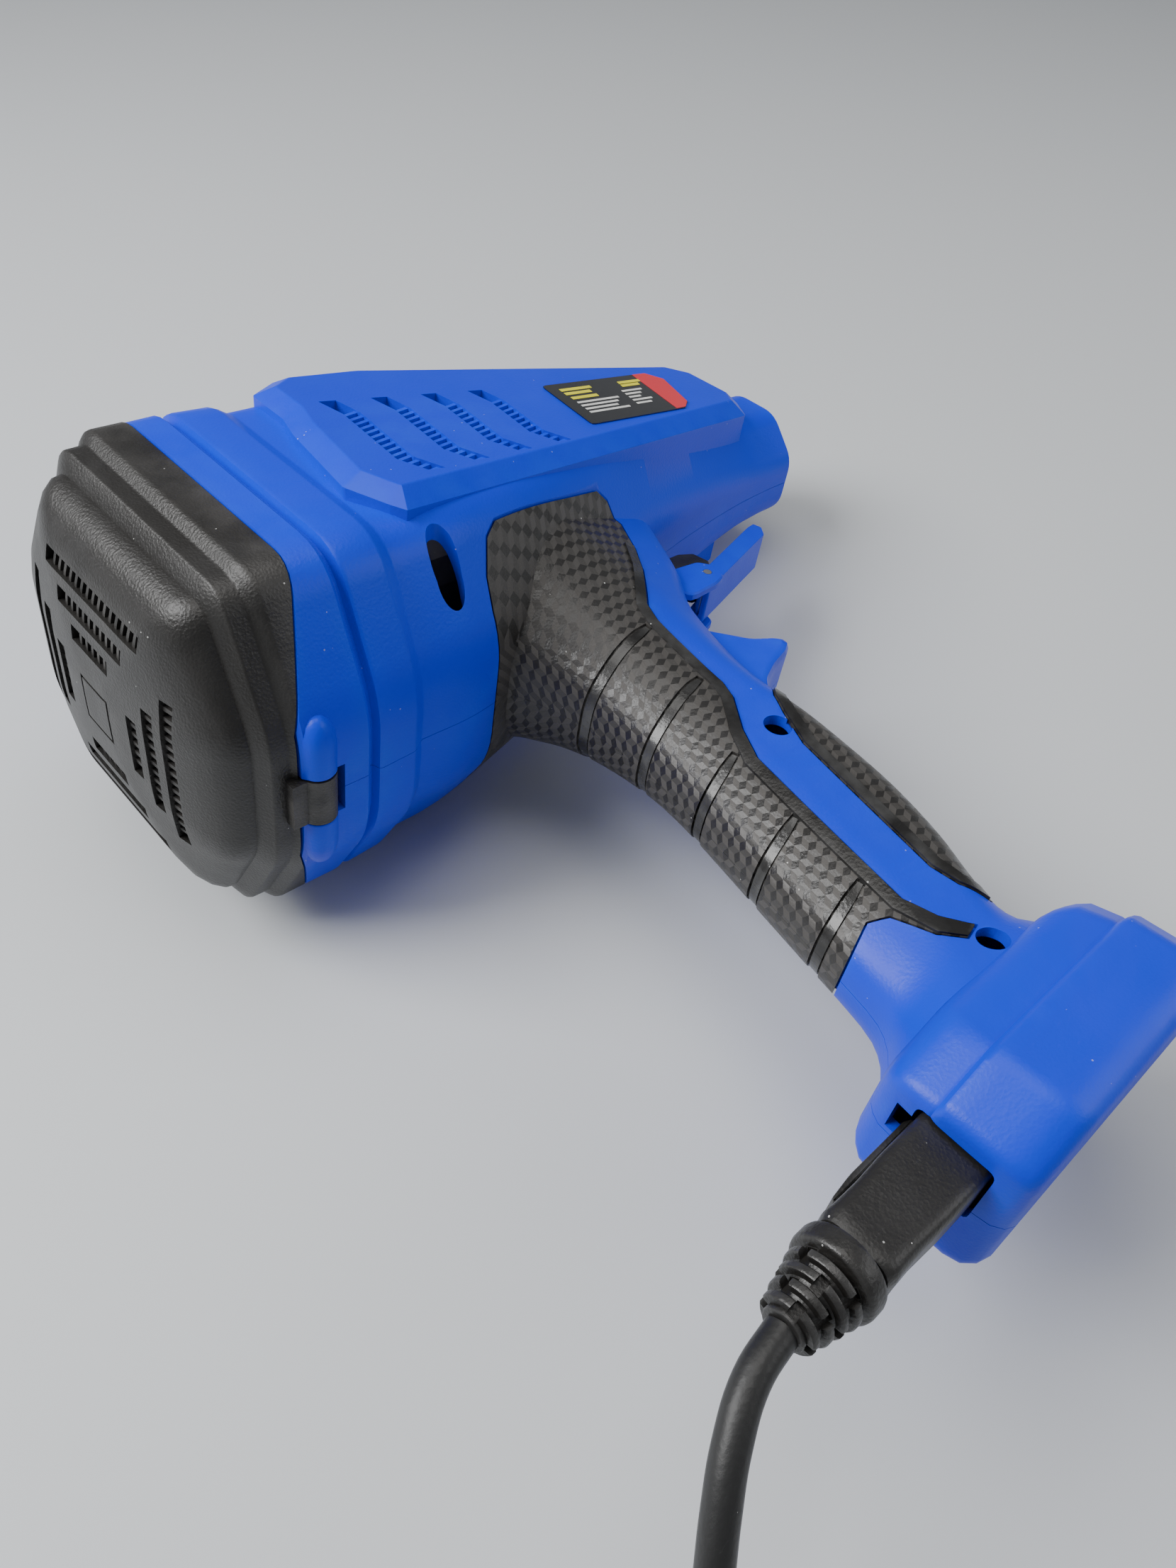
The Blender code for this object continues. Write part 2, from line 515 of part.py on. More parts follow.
def smooth_line(route, spacing):
    """Even points along a smooth curve through the route."""
    points = [Vector(p) for p in route]
    points = [points[0] * 2 - points[1]] + points + [points[-1] * 2 - points[-2]]
    fine = []
    for i in range(1, len(points) - 2):
        a, b, c, d = points[i - 1:i + 3]
        for k in range(24):
            t = k / 24
            fine.append(0.5 * (2 * b + (c - a) * t + (2 * a - 5 * b + 4 * c - d) * t * t + (3 * b - a - 3 * c + d) * t ** 3))
    fine.append(points[-2])
    total = sum((q - p).length for p, q in zip(fine, fine[1:]))
    count = max(2, round(total / spacing))
    out, walked, step = [fine[0]], 0.0, total / count
    for p, q in zip(fine, fine[1:]):
        gap = (q - p).length
        while len(out) < count and walked + gap >= step * len(out):
            out.append(p.lerp(q, (step * len(out) - walked) / gap))
        walked += gap
    out.append(fine[-1])
    return out


def wiring():
    for number, z in enumerate((5.0, -5.0)):
        route = [(84.5, -232, z), (86, -222, z), (86.3, -211, z), (87.5, -195, z), (91, -170, z), (95, -145, z), (99, -127, z),
                 (107, -108, z), (118, -85, z), (125, -66, z), (128, -53, z)]
        wire(("lead_live", "lead_neutral")[number], smooth_line(route, 9), 1.2, ((0.3, 0.12, 0.05, 1), (0.05, 0.1, 0.4, 1))[number])
        up = [(131, -31.5, z), (131.5, -24, z), (131.5, -15, z), (130.5, -8, z)]
        wire(("motor_lead_live", "motor_lead_neutral")[number], smooth_line(up, 6), 1.2, (0.5, 0.05, 0.04, 1))


def label():
    corners = [(151.0, 21.0), (208.0, 25.4), (213.0, 19.5), (205.5, 0.0), (199.5, -4.4), (146.7, -9.4)]
    rings = [[(x, y, panel_z(x) + lift) for x, y in corners] for lift in (0.1, 0.5)]
    finish(loft("rating_label", rings), (0.02, 0.02, 0.02, 1), 0.35)


# ---- mains inlet, connector and lead ----
def inlet():
    y, z = INLET_Y, INLET_Z
    body = block("inlet_socket", (60.6, y - 9.6, z - 8.8), (80.0, y + 9.6, z + 8.8))
    combine(body, [block("cup", (50, y - 8.0, z - 7.2), (76.0, y + 8.0, z + 7.2))], "DIFFERENCE")
    holes = [rod("hole", (70, y + s * 3.6, z), (1, 0, 0), 20, 1.25, 10) for s in (1, -1)]
    finish(combine(body, holes, "DIFFERENCE"), BLACK, 0.5)
    for name, s in (("inlet_pin_live", 1), ("inlet_pin_neutral", -1)):
        finish(rod(name, (64.0, y + s * 3.6, z), (1, 0, 0), 18.0, 1.15, 10), BRASS, 0.3, 1.0)


def connector():
    y, z = INLET_Y, INLET_Z
    shell = soften([(y - 9.4, z - 8.2), (y + 9.4, z - 8.2), (y + 9.4, z + 8.2), (y - 9.4, z + 8.2)], 0.35, 2)
    body = prism("lead_connector", shell, "x", 13.0, 59.0)
    tip = soften([(y - 7.6, z - 6.8), (y + 7.6, z - 6.8), (y + 7.6, z + 6.8), (y - 7.6, z + 6.8)], 0.3, 2)
    combine(body, [prism("tip", tip, "x", 50.0, 74.0)], "UNION")
    combine(body, [rod("hole", (60, y + s * 3.6, z), (1, 0, 0), 20, 1.4, 10) for s in (1, -1)], "DIFFERENCE")
    finish(body, BLACK, 0.4)
    finish(block("locking_tab", (22.0, y + 9.7, z - 3.0), (52.0, y + 11.6, z + 4.0)), BLACK, 0.4)
    ribs = [(0, 10.2), (5.5, 10.2), (6.0, 8.6)]
    for k in range(4):
        start, radius = 6.8 + 3.3 * k, 9.0 - 0.75 * k
        ribs += [(start, radius - 1.2), (start, radius), (start + 2.0, radius), (start + 2.0, radius - 1.4)]
    profile = [(0, 0)] + ribs + [(20.0, 5.0), (20.0, 0)]
    finish(turned("strain_relief", (12.7, y, z), (-1, 0, 0), profile, 12), BLACK, 0.45)


def mains_lead():
    route = [tuple(TO_TABLE @ Vector((-8.5, INLET_Y, INLET_Z))), tuple(TO_TABLE @ Vector((-13.0, INLET_Y - 0.2, INLET_Z)))] + LEAD_ROUTE
    wire("mains_lead", smooth_line(route, 11), LEAD_R, BLACK, 2, None)
    coil = [(COIL_R + COIL_WIDE * math.cos(k * math.pi / 4), COIL_HIGH * math.sin(k * math.pi / 4)) for k in range(8)]
    ring = turned("lead_coil", (*COIL_AT, COIL_HIGH + 1.6), (0, 0, 1), [(h, r) for r, h in coil], 24, parent=None)
    finish(ring, BLACK, 0.5)
    wire("plug_lead", smooth_line(TAIL_ROUTE, 11), LEAD_R, BLACK, 2, None)
    a = math.radians(TIE_TURN)
    spoke, along = Vector((math.cos(a), math.sin(a), 0)), Vector((-math.sin(a), math.cos(a), 0))
    centre = Vector((*COIL_AT, COIL_HIGH + 1.6)) + spoke * COIL_R
    rings = []
    for k in range(16):
        turn = math.pi * k / 8
        ray = spoke * (math.cos(turn) * (COIL_WIDE + 0.4)) + Vector((0, 0, math.sin(turn) * (COIL_HIGH + 0.4)))
        out = spoke * (math.cos(turn) * (COIL_WIDE + 1.5)) + Vector((0, 0, math.sin(turn) * (COIL_HIGH + 1.5)))
        rings.append([centre + ray + along * 2, centre + out + along * 2, centre + out - along * 2, centre + ray - along * 2])
    verts = [p for ring_points in rings for p in ring_points]
    faces = [(4 * k + i, 4 * k + (i + 1) % 4, 4 * ((k + 1) % 16) + (i + 1) % 4, 4 * ((k + 1) % 16) + i)
             for k in range(16) for i in range(4)]
    finish(make("cable_tie", verts, faces, parent=None), WHITE, 0.4)


def mains_plug():
    x, y, z = PLUG_AT
    outline = soften([(x, y - 6.0), (x + 12, y - 11.5), (x + 30, y - 12.5), (x + 30, y + 12.5), (x + 12, y + 11.5), (x, y + 6.0)], 0.5, 2)
    body = prism("mains_plug", outline, "z", z - 7.5, z + 7.5, parent=None)
    slots = [block("hole", (x + 22, y + s * 6.35 - 0.9, z - 3.3), (x + 40, y + s * 6.35 + 0.9, z + 3.3), parent=None) for s in (1, -1)]
    finish(combine(body, slots, "DIFFERENCE"), BLACK, 0.45)
    for name, s in (("plug_blade_live", 1), ("plug_blade_neutral", -1)):
        blade = block(name, (x + 22.3, y + s * 6.35 - 0.75, z - 3.15), (x + 48, y + s * 6.35 + 0.75, z + 3.15), parent=None)
        finish(blade, BRASS, 0.25, 1.0)


housing_halves()
housing_screws()
filter_cover()
filter_parts()
motor()
controls()
wiring()
label()
inlet()
connector()
mains_lead()
mains_plug()
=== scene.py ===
"""Corded sprayer power unit: finished surfaces, materials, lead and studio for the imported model."""
import bmesh
import bpy
import math
from bpy.props import FloatProperty, FloatVectorProperty, PointerProperty
from mathutils import Matrix, Vector


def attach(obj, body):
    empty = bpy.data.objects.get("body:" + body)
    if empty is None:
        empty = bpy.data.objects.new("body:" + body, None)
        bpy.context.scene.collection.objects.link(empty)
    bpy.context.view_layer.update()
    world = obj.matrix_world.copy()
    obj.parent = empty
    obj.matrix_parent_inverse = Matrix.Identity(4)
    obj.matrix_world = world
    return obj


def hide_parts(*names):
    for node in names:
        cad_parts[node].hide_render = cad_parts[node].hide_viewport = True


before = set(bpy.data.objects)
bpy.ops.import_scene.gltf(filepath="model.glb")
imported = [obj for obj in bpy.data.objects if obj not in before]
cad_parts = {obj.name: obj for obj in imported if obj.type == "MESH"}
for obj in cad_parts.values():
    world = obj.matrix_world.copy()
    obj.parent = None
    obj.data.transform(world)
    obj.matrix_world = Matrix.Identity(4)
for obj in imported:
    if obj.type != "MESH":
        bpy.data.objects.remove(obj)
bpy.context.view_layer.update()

MM = 0.001
# metres: points closer than this are one, and edges shorter than this go
MERGE, SLIVER = 2e-6, 1e-6

bl_info = {
    "name": "Sprayer Power Unit",
    "version": (1, 0, 0),
    "blender": (4, 5, 0),
    "location": "3D View > Sidebar > Sprayer",
    "description": "Builds the finished surfaces, lead and studio of a corded sprayer power unit",
    "category": "Object",
}

# ---- tool frame: X to the air outlet, Y away from the grip, Z to the right side, millimetres ----
DIP = math.atan(0.15)
FRAME_AT = Vector((-117.67, 95.0, 70.21)) * MM
TOOL = Matrix.Translation(FRAME_AT) @ Matrix.Rotation(DIP, 4, "Y")
HINGE = (6.0, -61.6)
NOSE_Y = 9.0
INLET_Y, INLET_Z = -235.5, 5.6
LEVER_PIVOT = (166.5, -54.6)
LEVER_RISE = 17.0
SIDES = (1, -1)
HALVES = (("right", 1), ("left", -1))
WALL = 3.4
SPLIT = 0.2
PAD_SPLIT = 0.03

# body sections: x, centre y, half height up, half height down, half width, flat side share, flat end share
# distance between added sections, and the gap under which they stay straight
BODY_SPACING, BAR_SPACING = (5.0, 9.0), (4.0, 3.0)
COLLAR = ((0.6, 62.6, 58.6), (1.6, 63.8, 59.8), (20.6, 64.0, 60.0), (21.6, 63.2, 59.2), (22.0, 61.0, 57.0),
          (23.8, 61.0, 57.0), (24.7, 63.4, 59.4), (25.8, 63.7, 59.7), (36.6, 63.2, 59.2), (37.8, 62.8, 58.8))
BODY = [(x, 0.0, tall, tall, wide, 0.68, 0.37) for x, tall, wide in COLLAR] + [
    (40.6, 0.0, 60.7, 60.7, 57.2, 0.68, 0.38), (41.6, 0.0, 60.2, 60.2, 57.0, 0.68, 0.38),
    (62.0, 0.0, 60.0, 60.0, 57.2, 0.66, 0.39), (90.0, 1.0, 57.0, 55.0, 54.2, 0.64, 0.40),
    (120.0, 3.0, 51.5, 47.0, 49.7, 0.62, 0.41), (150.0, 5.5, 45.5, 39.5, 45.0, 0.60, 0.42),
    (180.0, 7.5, 39.5, 33.5, 39.6, 0.56, 0.42), (210.0, 8.5, 33.0, 28.5, 32.0, 0.50, 0.42),
    (235.0, 9.0, 26.5, 25.4, 26.0, 0.44, 0.42), (252.0, 9.0, 24.4, 24.2, 24.3, 0.414, 0.414),
    (260.8, 9.0, 23.9, 23.9, 23.9, 0.414, 0.414), (262.0, 9.0, 23.0, 23.0, 23.0, 0.414, 0.414),
]

# grip sections: y, rear x, front x, half thickness, flat share, front flat share, front end share
GRIP = [
    (-30.0, 66.0, 166.0, 44.0, 0.55, -0.25, 0.40), (-38.0, 68.0, 163.0, 39.0, 0.55, -0.15, 0.42),
    (-46.0, 70.5, 160.0, 34.5, 0.55, -0.05, 0.43), (-54.0, 74.0, 156.0, 30.5, 0.54, 0.05, 0.45),
    (-62.0, 78.0, 150.0, 27.5, 0.54, 0.18, 0.48), (-70.0, 81.3, 145.5, 25.2, 0.52, 0.32, 0.50),
    (-80.0, 84.0, 141.5, 23.0, 0.50, 0.44, 0.52), (-90.0, 85.4, 138.6, 21.4, 0.48, 0.50, 0.54),
    (-100.0, 85.8, 136.6, 20.0, 0.46, 0.56, 0.56), (-112.0, 85.6, 135.6, 19.0, 0.44, 0.62, 0.58),
    (-125.0, 84.2, 135.4, 18.6, 0.43, 0.68, 0.60), (-140.0, 81.6, 134.2, 18.4, 0.43, 0.70, 0.60),
    (-160.0, 77.8, 131.6, 18.3, 0.43, 0.70, 0.60), (-180.0, 74.2, 126.4, 18.3, 0.43, 0.68, 0.58),
    (-195.0, 71.6, 121.0, 18.4, 0.43, 0.60, 0.54), (-204.0, 69.4, 118.8, 18.8, 0.45, 0.54, 0.50),
    (-210.0, 65.2, 119.8, 19.8, 0.47, 0.50, 0.50), (-215.0, 58.6, 124.0, 21.2, 0.50, 0.50, 0.50),
    (-219.0, 51.5, 128.6, 22.6, 0.52, 0.52, 0.52),
]
GRIP_END_INSIDE = (-226.0, 66.0, 118.0, 19.0, 0.48, 0.48, 0.48)

# foot sections: y, rear x, front x, half width, flat share
FOOT = [
    (-214.6, 53.0, 127.6, 20.6, 0.58), (-215.8, 50.6, 130.0, 22.6, 0.60), (-217.4, 49.0, 131.6, 24.0, 0.62),
    (-220.0, 47.6, 133.4, 25.4, 0.64), (-227.8, 47.0, 134.6, 26.6, 0.66), (-228.6, 47.1, 134.5, 26.5, 0.66),
    (-229.6, 46.7, 135.6, 28.2, 0.68), (-230.8, 46.5, 136.0, 28.9, 0.68), (-246.0, 46.5, 136.8, 29.5, 0.68),
    (-250.0, 47.2, 136.0, 28.7, 0.67), (-252.6, 49.0, 134.0, 27.0, 0.65), (-253.8, 51.6, 131.0, 24.8, 0.62),
]
GRIP_ROUND, FOOT_ROUND = 0.85, 0.34

# raised side panels and their vents
PANEL = [(50.5, 37.0), (62.0, 45.0), (90.0, 47.5), (228.0, 36.0), (238.5, 27.0), (240.0, 4.0), (233.0, -6.5),
         (51.5, -36.5), (49.0, -33.0), (42.5, -21.0), (47.5, 11.0), (50.5, 21.0)]
PANEL_SLOPE = 0.15
PANEL_Z0, PANEL_X0 = 60.5, 70.0
PANEL_CHAMFER = 5.0
VENT_X = (66.5, 85.0, 104.0, 123.0)
VENT_HALF = 3.0
VENT_PITCH, VENT_BAR_DEPTH, VENT_BAR_TOP = 3.1, 3.4, 15.0

# rubber of the grip: outlines, raised border and grooves
RUBBER_BACK = [(71.0, -90.0), (70.0, -54.0), (71.0, -49.0), (75.0, -43.0), (80.0, -40.0), (133.0, -28.5),
               (137.5, -29.5), (140.5, -34.5), (137.0, -45.0), (130.5, -55.5), (124.0, -63.0), (117.0, -71.0),
               (115.5, -77.0), (114.6, -106.0), (112.6, -112.0), (104.5, -123.0), (99.6, -133.0), (90.2, -189.0),
               (92.5, -198.0), (97.5, -205.6), (92.5, -206.6), (88.0, -201.0), (85.0, -190.0), (81.0, -186.5),
               (60.0, -193.5), (60.0, -130.0)]
RUBBER_FRONT = [(129.0, -114.5), (125.0, -118.0), (121.0, -125.0), (115.5, -137.0), (106.0, -187.0),
                (107.0, -195.0), (111.5, -202.5), (150.0, -202.0), (150.0, -114.0)]
RUBBER = (("back", RUBBER_BACK), ("front", RUBBER_FRONT))
RUBBER_THICK, RECESS_DEPTH, SEAM = 1.15, 1.6, 0.55
BORDER, BORDER_PROUD, BORDER_ROOT = 3.6, 0.7, 1.0
# corners of the outline that the border runs along, outside and inside
BORDER_SPAN = {"back": ((8, 22), (8, 18)), "front": ((0, 7), (0, 7))}
# tip near the border, then a point towards the rear
GROOVES = [((111.5, -77.5), (88.0, -82.0)), ((110.5, -101.0), (82.0, -107.0)), ((97.5, -127.5), (76.0, -132.5)),
           ((93.0, -153.5), (72.0, -157.5)), ((88.5, -178.5), (70.0, -182.0))]
GROOVE_DEPTH, RIB_TOP, RIB_ROOT, RIB_GAP = 0.9, 0.42, 1.1, 0.62

HOOK = [(126.0, -70.0), (139.0, -77.0), (144.0, -83.0), (149.5, -89.5), (156.0, -93.0), (158.6, -95.4),
        (158.4, -98.4), (154.5, -100.8), (146.0, -103.2), (138.0, -106.8), (132.0, -113.0), (120.0, -113.0),
        (116.0, -80.0)]
EAR = [(150.0, -46.0), (168.0, -48.0), (171.5, -52.0), (170.5, -59.0), (165.0, -61.0), (150.0, -62.0)]
EAR_Z = (7.9, 11.0)
# screw holes: x, y, radius of the deep part
SCREWS = [(57.5, -49.0, 4.2), (56.0, 51.3, 4.2), (115.0, -127.5, 4.2), (96.5, -211.0, 4.0)]

# cover sections: x, half height, half width, flat side share, flat end share
RIM = ((14.0, 63.5, 59.5), (2.4, 63.5, 59.5), (1.2, 63.2, 59.2), (-0.2, 62.0, 58.0),
       (-1.0, 60.9, 56.9), (-1.8, 60.5, 56.5), (-6.0, 60.4, 56.4), (-6.8, 60.0, 56.0))
COVER = [(*row, 0.68, 0.37) for row in RIM] + [
    (-8.8, 56.8, 52.8, 0.68, 0.38), (-9.5, 55.4, 51.4, 0.68, 0.38), (-11.9, 55.0, 51.0, 0.68, 0.39),
    (-14.9, 53.2, 49.2, 0.67, 0.41), (-17.6, 50.2, 46.2, 0.66, 0.43), (-20.0, 45.0, 41.2, 0.65, 0.45),
    (-21.8, 38.8, 35.6, 0.64, 0.46), (-23.2, 31.0, 28.4, 0.63, 0.47), (-24.2, 22.6, 20.8, 0.62, 0.48),
    (-24.9, 13.0, 12.0, 0.60, 0.48), (-25.2, 5.6, 5.2, 0.60, 0.48),
]
COVER_ROUND, COVER_WALL = 0.36, 2.4
# grille slots: distance from the middle, half length
GRILLE = ((36.0, 25.0), (28.0, 17.5), (20.0, 10.0))

# rating label plate and its red end
PLATE = [(151.0, 21.0), (208.0, 25.4), (213.0, 19.5), (205.5, 0.0), (199.5, -4.4), (146.7, -9.4)]
RED_END = [(200.6, 24.8), (208.0, 25.3), (212.8, 19.5), (205.4, 0.2), (200.2, -3.8), (194.6, -4.6)]
# label bars: start and end share, height shares, ink
LABEL_ROWS = ((0.05, 0.36, (0.90, 0.78), "label_yellow"), (0.66, 0.90, (0.90, 0.80), "label_yellow"),
              (0.06, 0.33, (0.64,), "label_yellow"), (0.06, 0.50, (0.50, 0.40, 0.30, 0.20), "label_white"),
              (0.60, 0.82, (0.64, 0.54, 0.44, 0.34, 0.24), "label_white"))
BAR_THICK = {"label_yellow": 0.075, "label_white": 0.048}

# mains lead, millimetres in the row frame
LEAD_R = 3.75
LEAD_ROUTE = [(-137.0, -143.5, 76.5), (-145.0, -147.5, 74.0), (-152.0, -152.5, 69.5), (-160.5, -159.5, 61.5),
              (-171.0, -168.0, 49.0), (-181.0, -176.0, 35.0), (-191.0, -184.0, 21.5), (-202.5, -192.0, 10.5),
              (-216.0, -198.5, 5.0), (-230.0, -202.4, 4.1), (-246.0, -203.6, 4.0)]
COIL_AT = (-246.0, -258.0)
# radius where the lead comes in and goes out, degrees from point to point, degrees to move to the next turn
COIL_IN, COIL_OUT, COIL_STEP, COIL_DRIFT = 54.4, 54.6, 15.0, 60.0
# one radius and height for each turn of the coil
TURN_SLOTS = [(43.8, 4.0), (36.2, 4.0), (36.2, 11.7), (43.8, 11.7), (43.8, 19.3)]
TAIL_ROUTE = [(-231.9, -310.8, 4.0), (-220.0, -308.8, 4.0), (-207.0, -308.4, 4.0), (-194.0, -308.8, 4.1),
              (-181.0, -308.4, 4.8), (-168.0, -307.2, 6.2), (-154.0, -305.8, 7.6), (-141.0, -305.4, 7.9)]
PLUG_AT = (-140.6, -305.4, 7.9)
# plug sections: distance along, half width, half height
PLUG = ((0.0, 4.2, 4.2), (0.4, 5.0, 5.0), (4.0, 5.6, 5.4), (8.0, 7.2, 6.2), (12.0, 10.4, 7.0),
        (16.0, 12.0, 7.5), (24.0, 12.4, 7.5), (29.0, 12.2, 7.4), (30.0, 11.4, 6.8))
# connector sections: x, half width, half height, corner round
CONNECTOR = ((12.8, 7.8, 6.8, 0.8), (13.2, 8.6, 7.6, 0.7), (15.0, 9.2, 8.1, 0.6), (17.5, 9.0, 7.9, 0.55),
             (24.0, 8.8, 7.8, 0.45), (34.0, 9.2, 8.1, 0.40), (58.0, 9.3, 8.1, 0.36), (59.0, 9.0, 7.8, 0.36),
             (59.1, 7.6, 6.8, 0.3), (73.4, 7.6, 6.8, 0.3), (74.0, 7.1, 6.3, 0.3))

# studio, metres
CAMERA_AT = Vector((-0.1982, -0.1590, 0.3041))
CAMERA_FORWARD = Vector((0.45828, 0.47139, -0.75350))
CAMERA_RIGHT = Vector((0.73821, -0.67402, 0.02732))
LENS = 26.34
FLOOR_REACH = 3.0
SKY_COLOUR, SKY_STRENGTH = (0.90, 0.94, 1.0, 1.0), 0.21
# lamps: place, target, size, watts, colour
LAMPS = {
    "window": ((-0.75, 0.55, 0.95), (-0.02, -0.02, 0.05), (0.7, 0.7), 20.0, (1, 1, 1)),
    "overhead": ((0.10, 0.10, 1.25), (0.0, 0.0, 0.05), (0.8, 0.8), 6.0, (1.0, 0.98, 0.95)),
    "front_fill": ((0.75, -0.75, 0.60), (0.0, 0.0, 0.05), (0.9, 0.6), 3.5, (1, 1, 1)),
}


# ---- mesh building blocks, millimetres in the tool frame ----
def make(name, verts, faces):
    """Closed mesh from millimetre points of the tool frame."""
    mesh = bpy.data.meshes.new(name)
    mesh.from_pydata([Vector(v) * MM for v in verts], [], faces)
    bm = bmesh.new()
    bm.from_mesh(mesh)
    bmesh.ops.recalc_face_normals(bm, faces=bm.faces)
    bm.to_mesh(mesh)
    bm.free()
    obj = bpy.data.objects.new(name, mesh)
    bpy.context.scene.collection.objects.link(obj)
    obj.matrix_world = TOOL
    return obj


def loft(name, rings):
    """Closed skin over rings of equal point count, with a flat cap at each end."""
    count = len(rings[0])
    verts = [point for ring in rings for point in ring]
    faces = []
    for level in range(len(rings) - 1):
        a = level * count
        faces += [(a + i, a + (i + 1) % count, a + count + (i + 1) % count, a + count + i) for i in range(count)]
    faces.append(tuple(range(count)))
    faces.append(tuple(range(len(verts) - count, len(verts))))
    return make(name, verts, faces)


def prism(name, outline, axis, low, high):
    """Straight slab of one outline, along one axis."""
    def lift(point, level):
        placed = list(point)
        placed.insert("xyz".index(axis), level)
        return tuple(placed)

    return loft(name, [[lift(point, level) for point in outline] for level in (low, high)])


def rectangle(a, b, half_a, half_b):
    return [(a - half_a, b - half_b), (a + half_a, b - half_b), (a + half_a, b + half_b), (a - half_a, b + half_b)]


def box(name, low, high):
    outline = [(low[0], low[1]), (high[0], low[1]), (high[0], high[1]), (low[0], high[1])]
    return prism(name, outline, "z", low[2], high[2])


def boxes(name, blocks):
    """Many separate blocks in one mesh, each turned about its own centre."""
    quads = ((0, 1, 3, 2), (4, 6, 7, 5), (0, 4, 5, 1), (2, 3, 7, 6), (0, 2, 6, 4), (1, 5, 7, 3))
    signs = [(x, y, z) for x in (-1, 1) for y in (-1, 1) for z in (-1, 1)]
    verts, faces = [], []
    for centre, half, spin in blocks:
        faces += [tuple(len(verts) + k for k in quad) for quad in quads]
        verts += [Vector(centre) + spin @ Vector([sign * size for sign, size in zip(corner, half)]) for corner in signs]
    return make(name, verts, faces)


def turned(name, start, direction, profile, sides):
    """Turned form from (distance along, radius) pairs; a ring when no radius is zero."""
    axis = Vector(direction).normalized()
    side = axis.orthogonal().normalized()
    across = axis.cross(side)
    verts, rows = [], []
    for along, radius in profile:
        centre = Vector(start) + axis * along
        if radius < 1e-6:
            rows.append([len(verts)])
            verts.append(centre)
            continue
        rows.append(range(len(verts), len(verts) + sides))
        for i in range(sides):
            turn = 2 * math.pi * (i + 0.5) / sides
            verts.append(centre + (side * math.cos(turn) + across * math.sin(turn)) * radius)
    closed = all(len(row) > 1 for row in rows)
    faces = []
    for k in range(len(rows) if closed else len(rows) - 1):
        a, b = rows[k], rows[(k + 1) % len(rows)]
        for i in range(sides):
            j = (i + 1) % sides
            face = list(dict.fromkeys([a[i % len(a)], a[j % len(a)], b[j % len(b)], b[i % len(b)]]))
            if len(face) > 2:
                faces.append(face)
    return make(name, verts, faces)


def rod(name, start, direction, length, radius, sides=32):
    return turned(name, start, direction, [(0, 0), (0, radius), (length, radius), (length, 0)], sides)


def combine(target, tools, mode):
    """Boolean of the target with each tool in turn; the tools are used up."""
    for other in tools:
        step = target.modifiers.new(mode.lower(), "BOOLEAN")
        step.operation = mode
        step.solver = "EXACT"
        step.object = other
        bpy.context.view_layer.update()
        solved = bpy.data.meshes.new_from_object(target.evaluated_get(bpy.context.evaluated_depsgraph_get()))
        target.modifiers.remove(step)
        target.data = solved
        bpy.data.objects.remove(other, do_unlink=True)
    return target


def copy_of(obj, name):
    twin = obj.copy()
    twin.data = obj.data.copy()
    twin.name = name
    bpy.context.scene.collection.objects.link(twin)
    return twin


def dress(obj, finish, body="body", angle=34.0, hides=()):
    """Smooth shading with true hard edges, one finish, one body; the mesh ends in the row frame."""
    obj.data.transform(obj.matrix_world)
    obj.matrix_world = Matrix.Identity(4)
    bm = bmesh.new()
    bm.from_mesh(obj.data)
    bmesh.ops.remove_doubles(bm, verts=bm.verts, dist=MERGE)
    bmesh.ops.dissolve_degenerate(bm, edges=bm.edges, dist=SLIVER)
    bm.to_mesh(obj.data)
    bm.free()
    obj.data.shade_smooth()
    obj.data.set_sharp_from_angle(angle=math.radians(angle))
    obj.modifiers.new("even shading", "WEIGHTED_NORMAL").keep_sharp = True
    obj.data.materials.clear()
    obj.data.materials.append(FINISHES[finish])
    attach(obj, body)
    if hides:
        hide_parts(*hides)


def soften(points, share, steps):
    """Outline with every corner rounded over a share of its shorter side."""
    out = []
    for i, point in enumerate(points):
        corner, before, after = Vector(point), Vector(points[i - 1]), Vector(points[(i + 1) % len(points)])
        reach = share * 0.5 * min((before - corner).length, (after - corner).length)
        a = corner + (before - corner).normalized() * reach
        b = corner + (after - corner).normalized() * reach
        for k in range(steps + 1):
            t = k / steps
            out.append(tuple(a * (1 - t) ** 2 + corner * 2 * t * (1 - t) + b * t * t))
    return out


def octagon(centre, up, down, wide, side_flat, end_flat, grow=0.0, share=0.5):
    """Soft eight-sided section of the body or cover."""
    up, down, wide = up + grow, down + grow, wide + grow
    near = [(centre - down, -wide * end_flat), (centre - down * side_flat, -wide),
            (centre + up * side_flat, -wide), (centre + up, -wide * end_flat)]
    return soften(near + [(y, -z) for y, z in reversed(near)], share, 5)


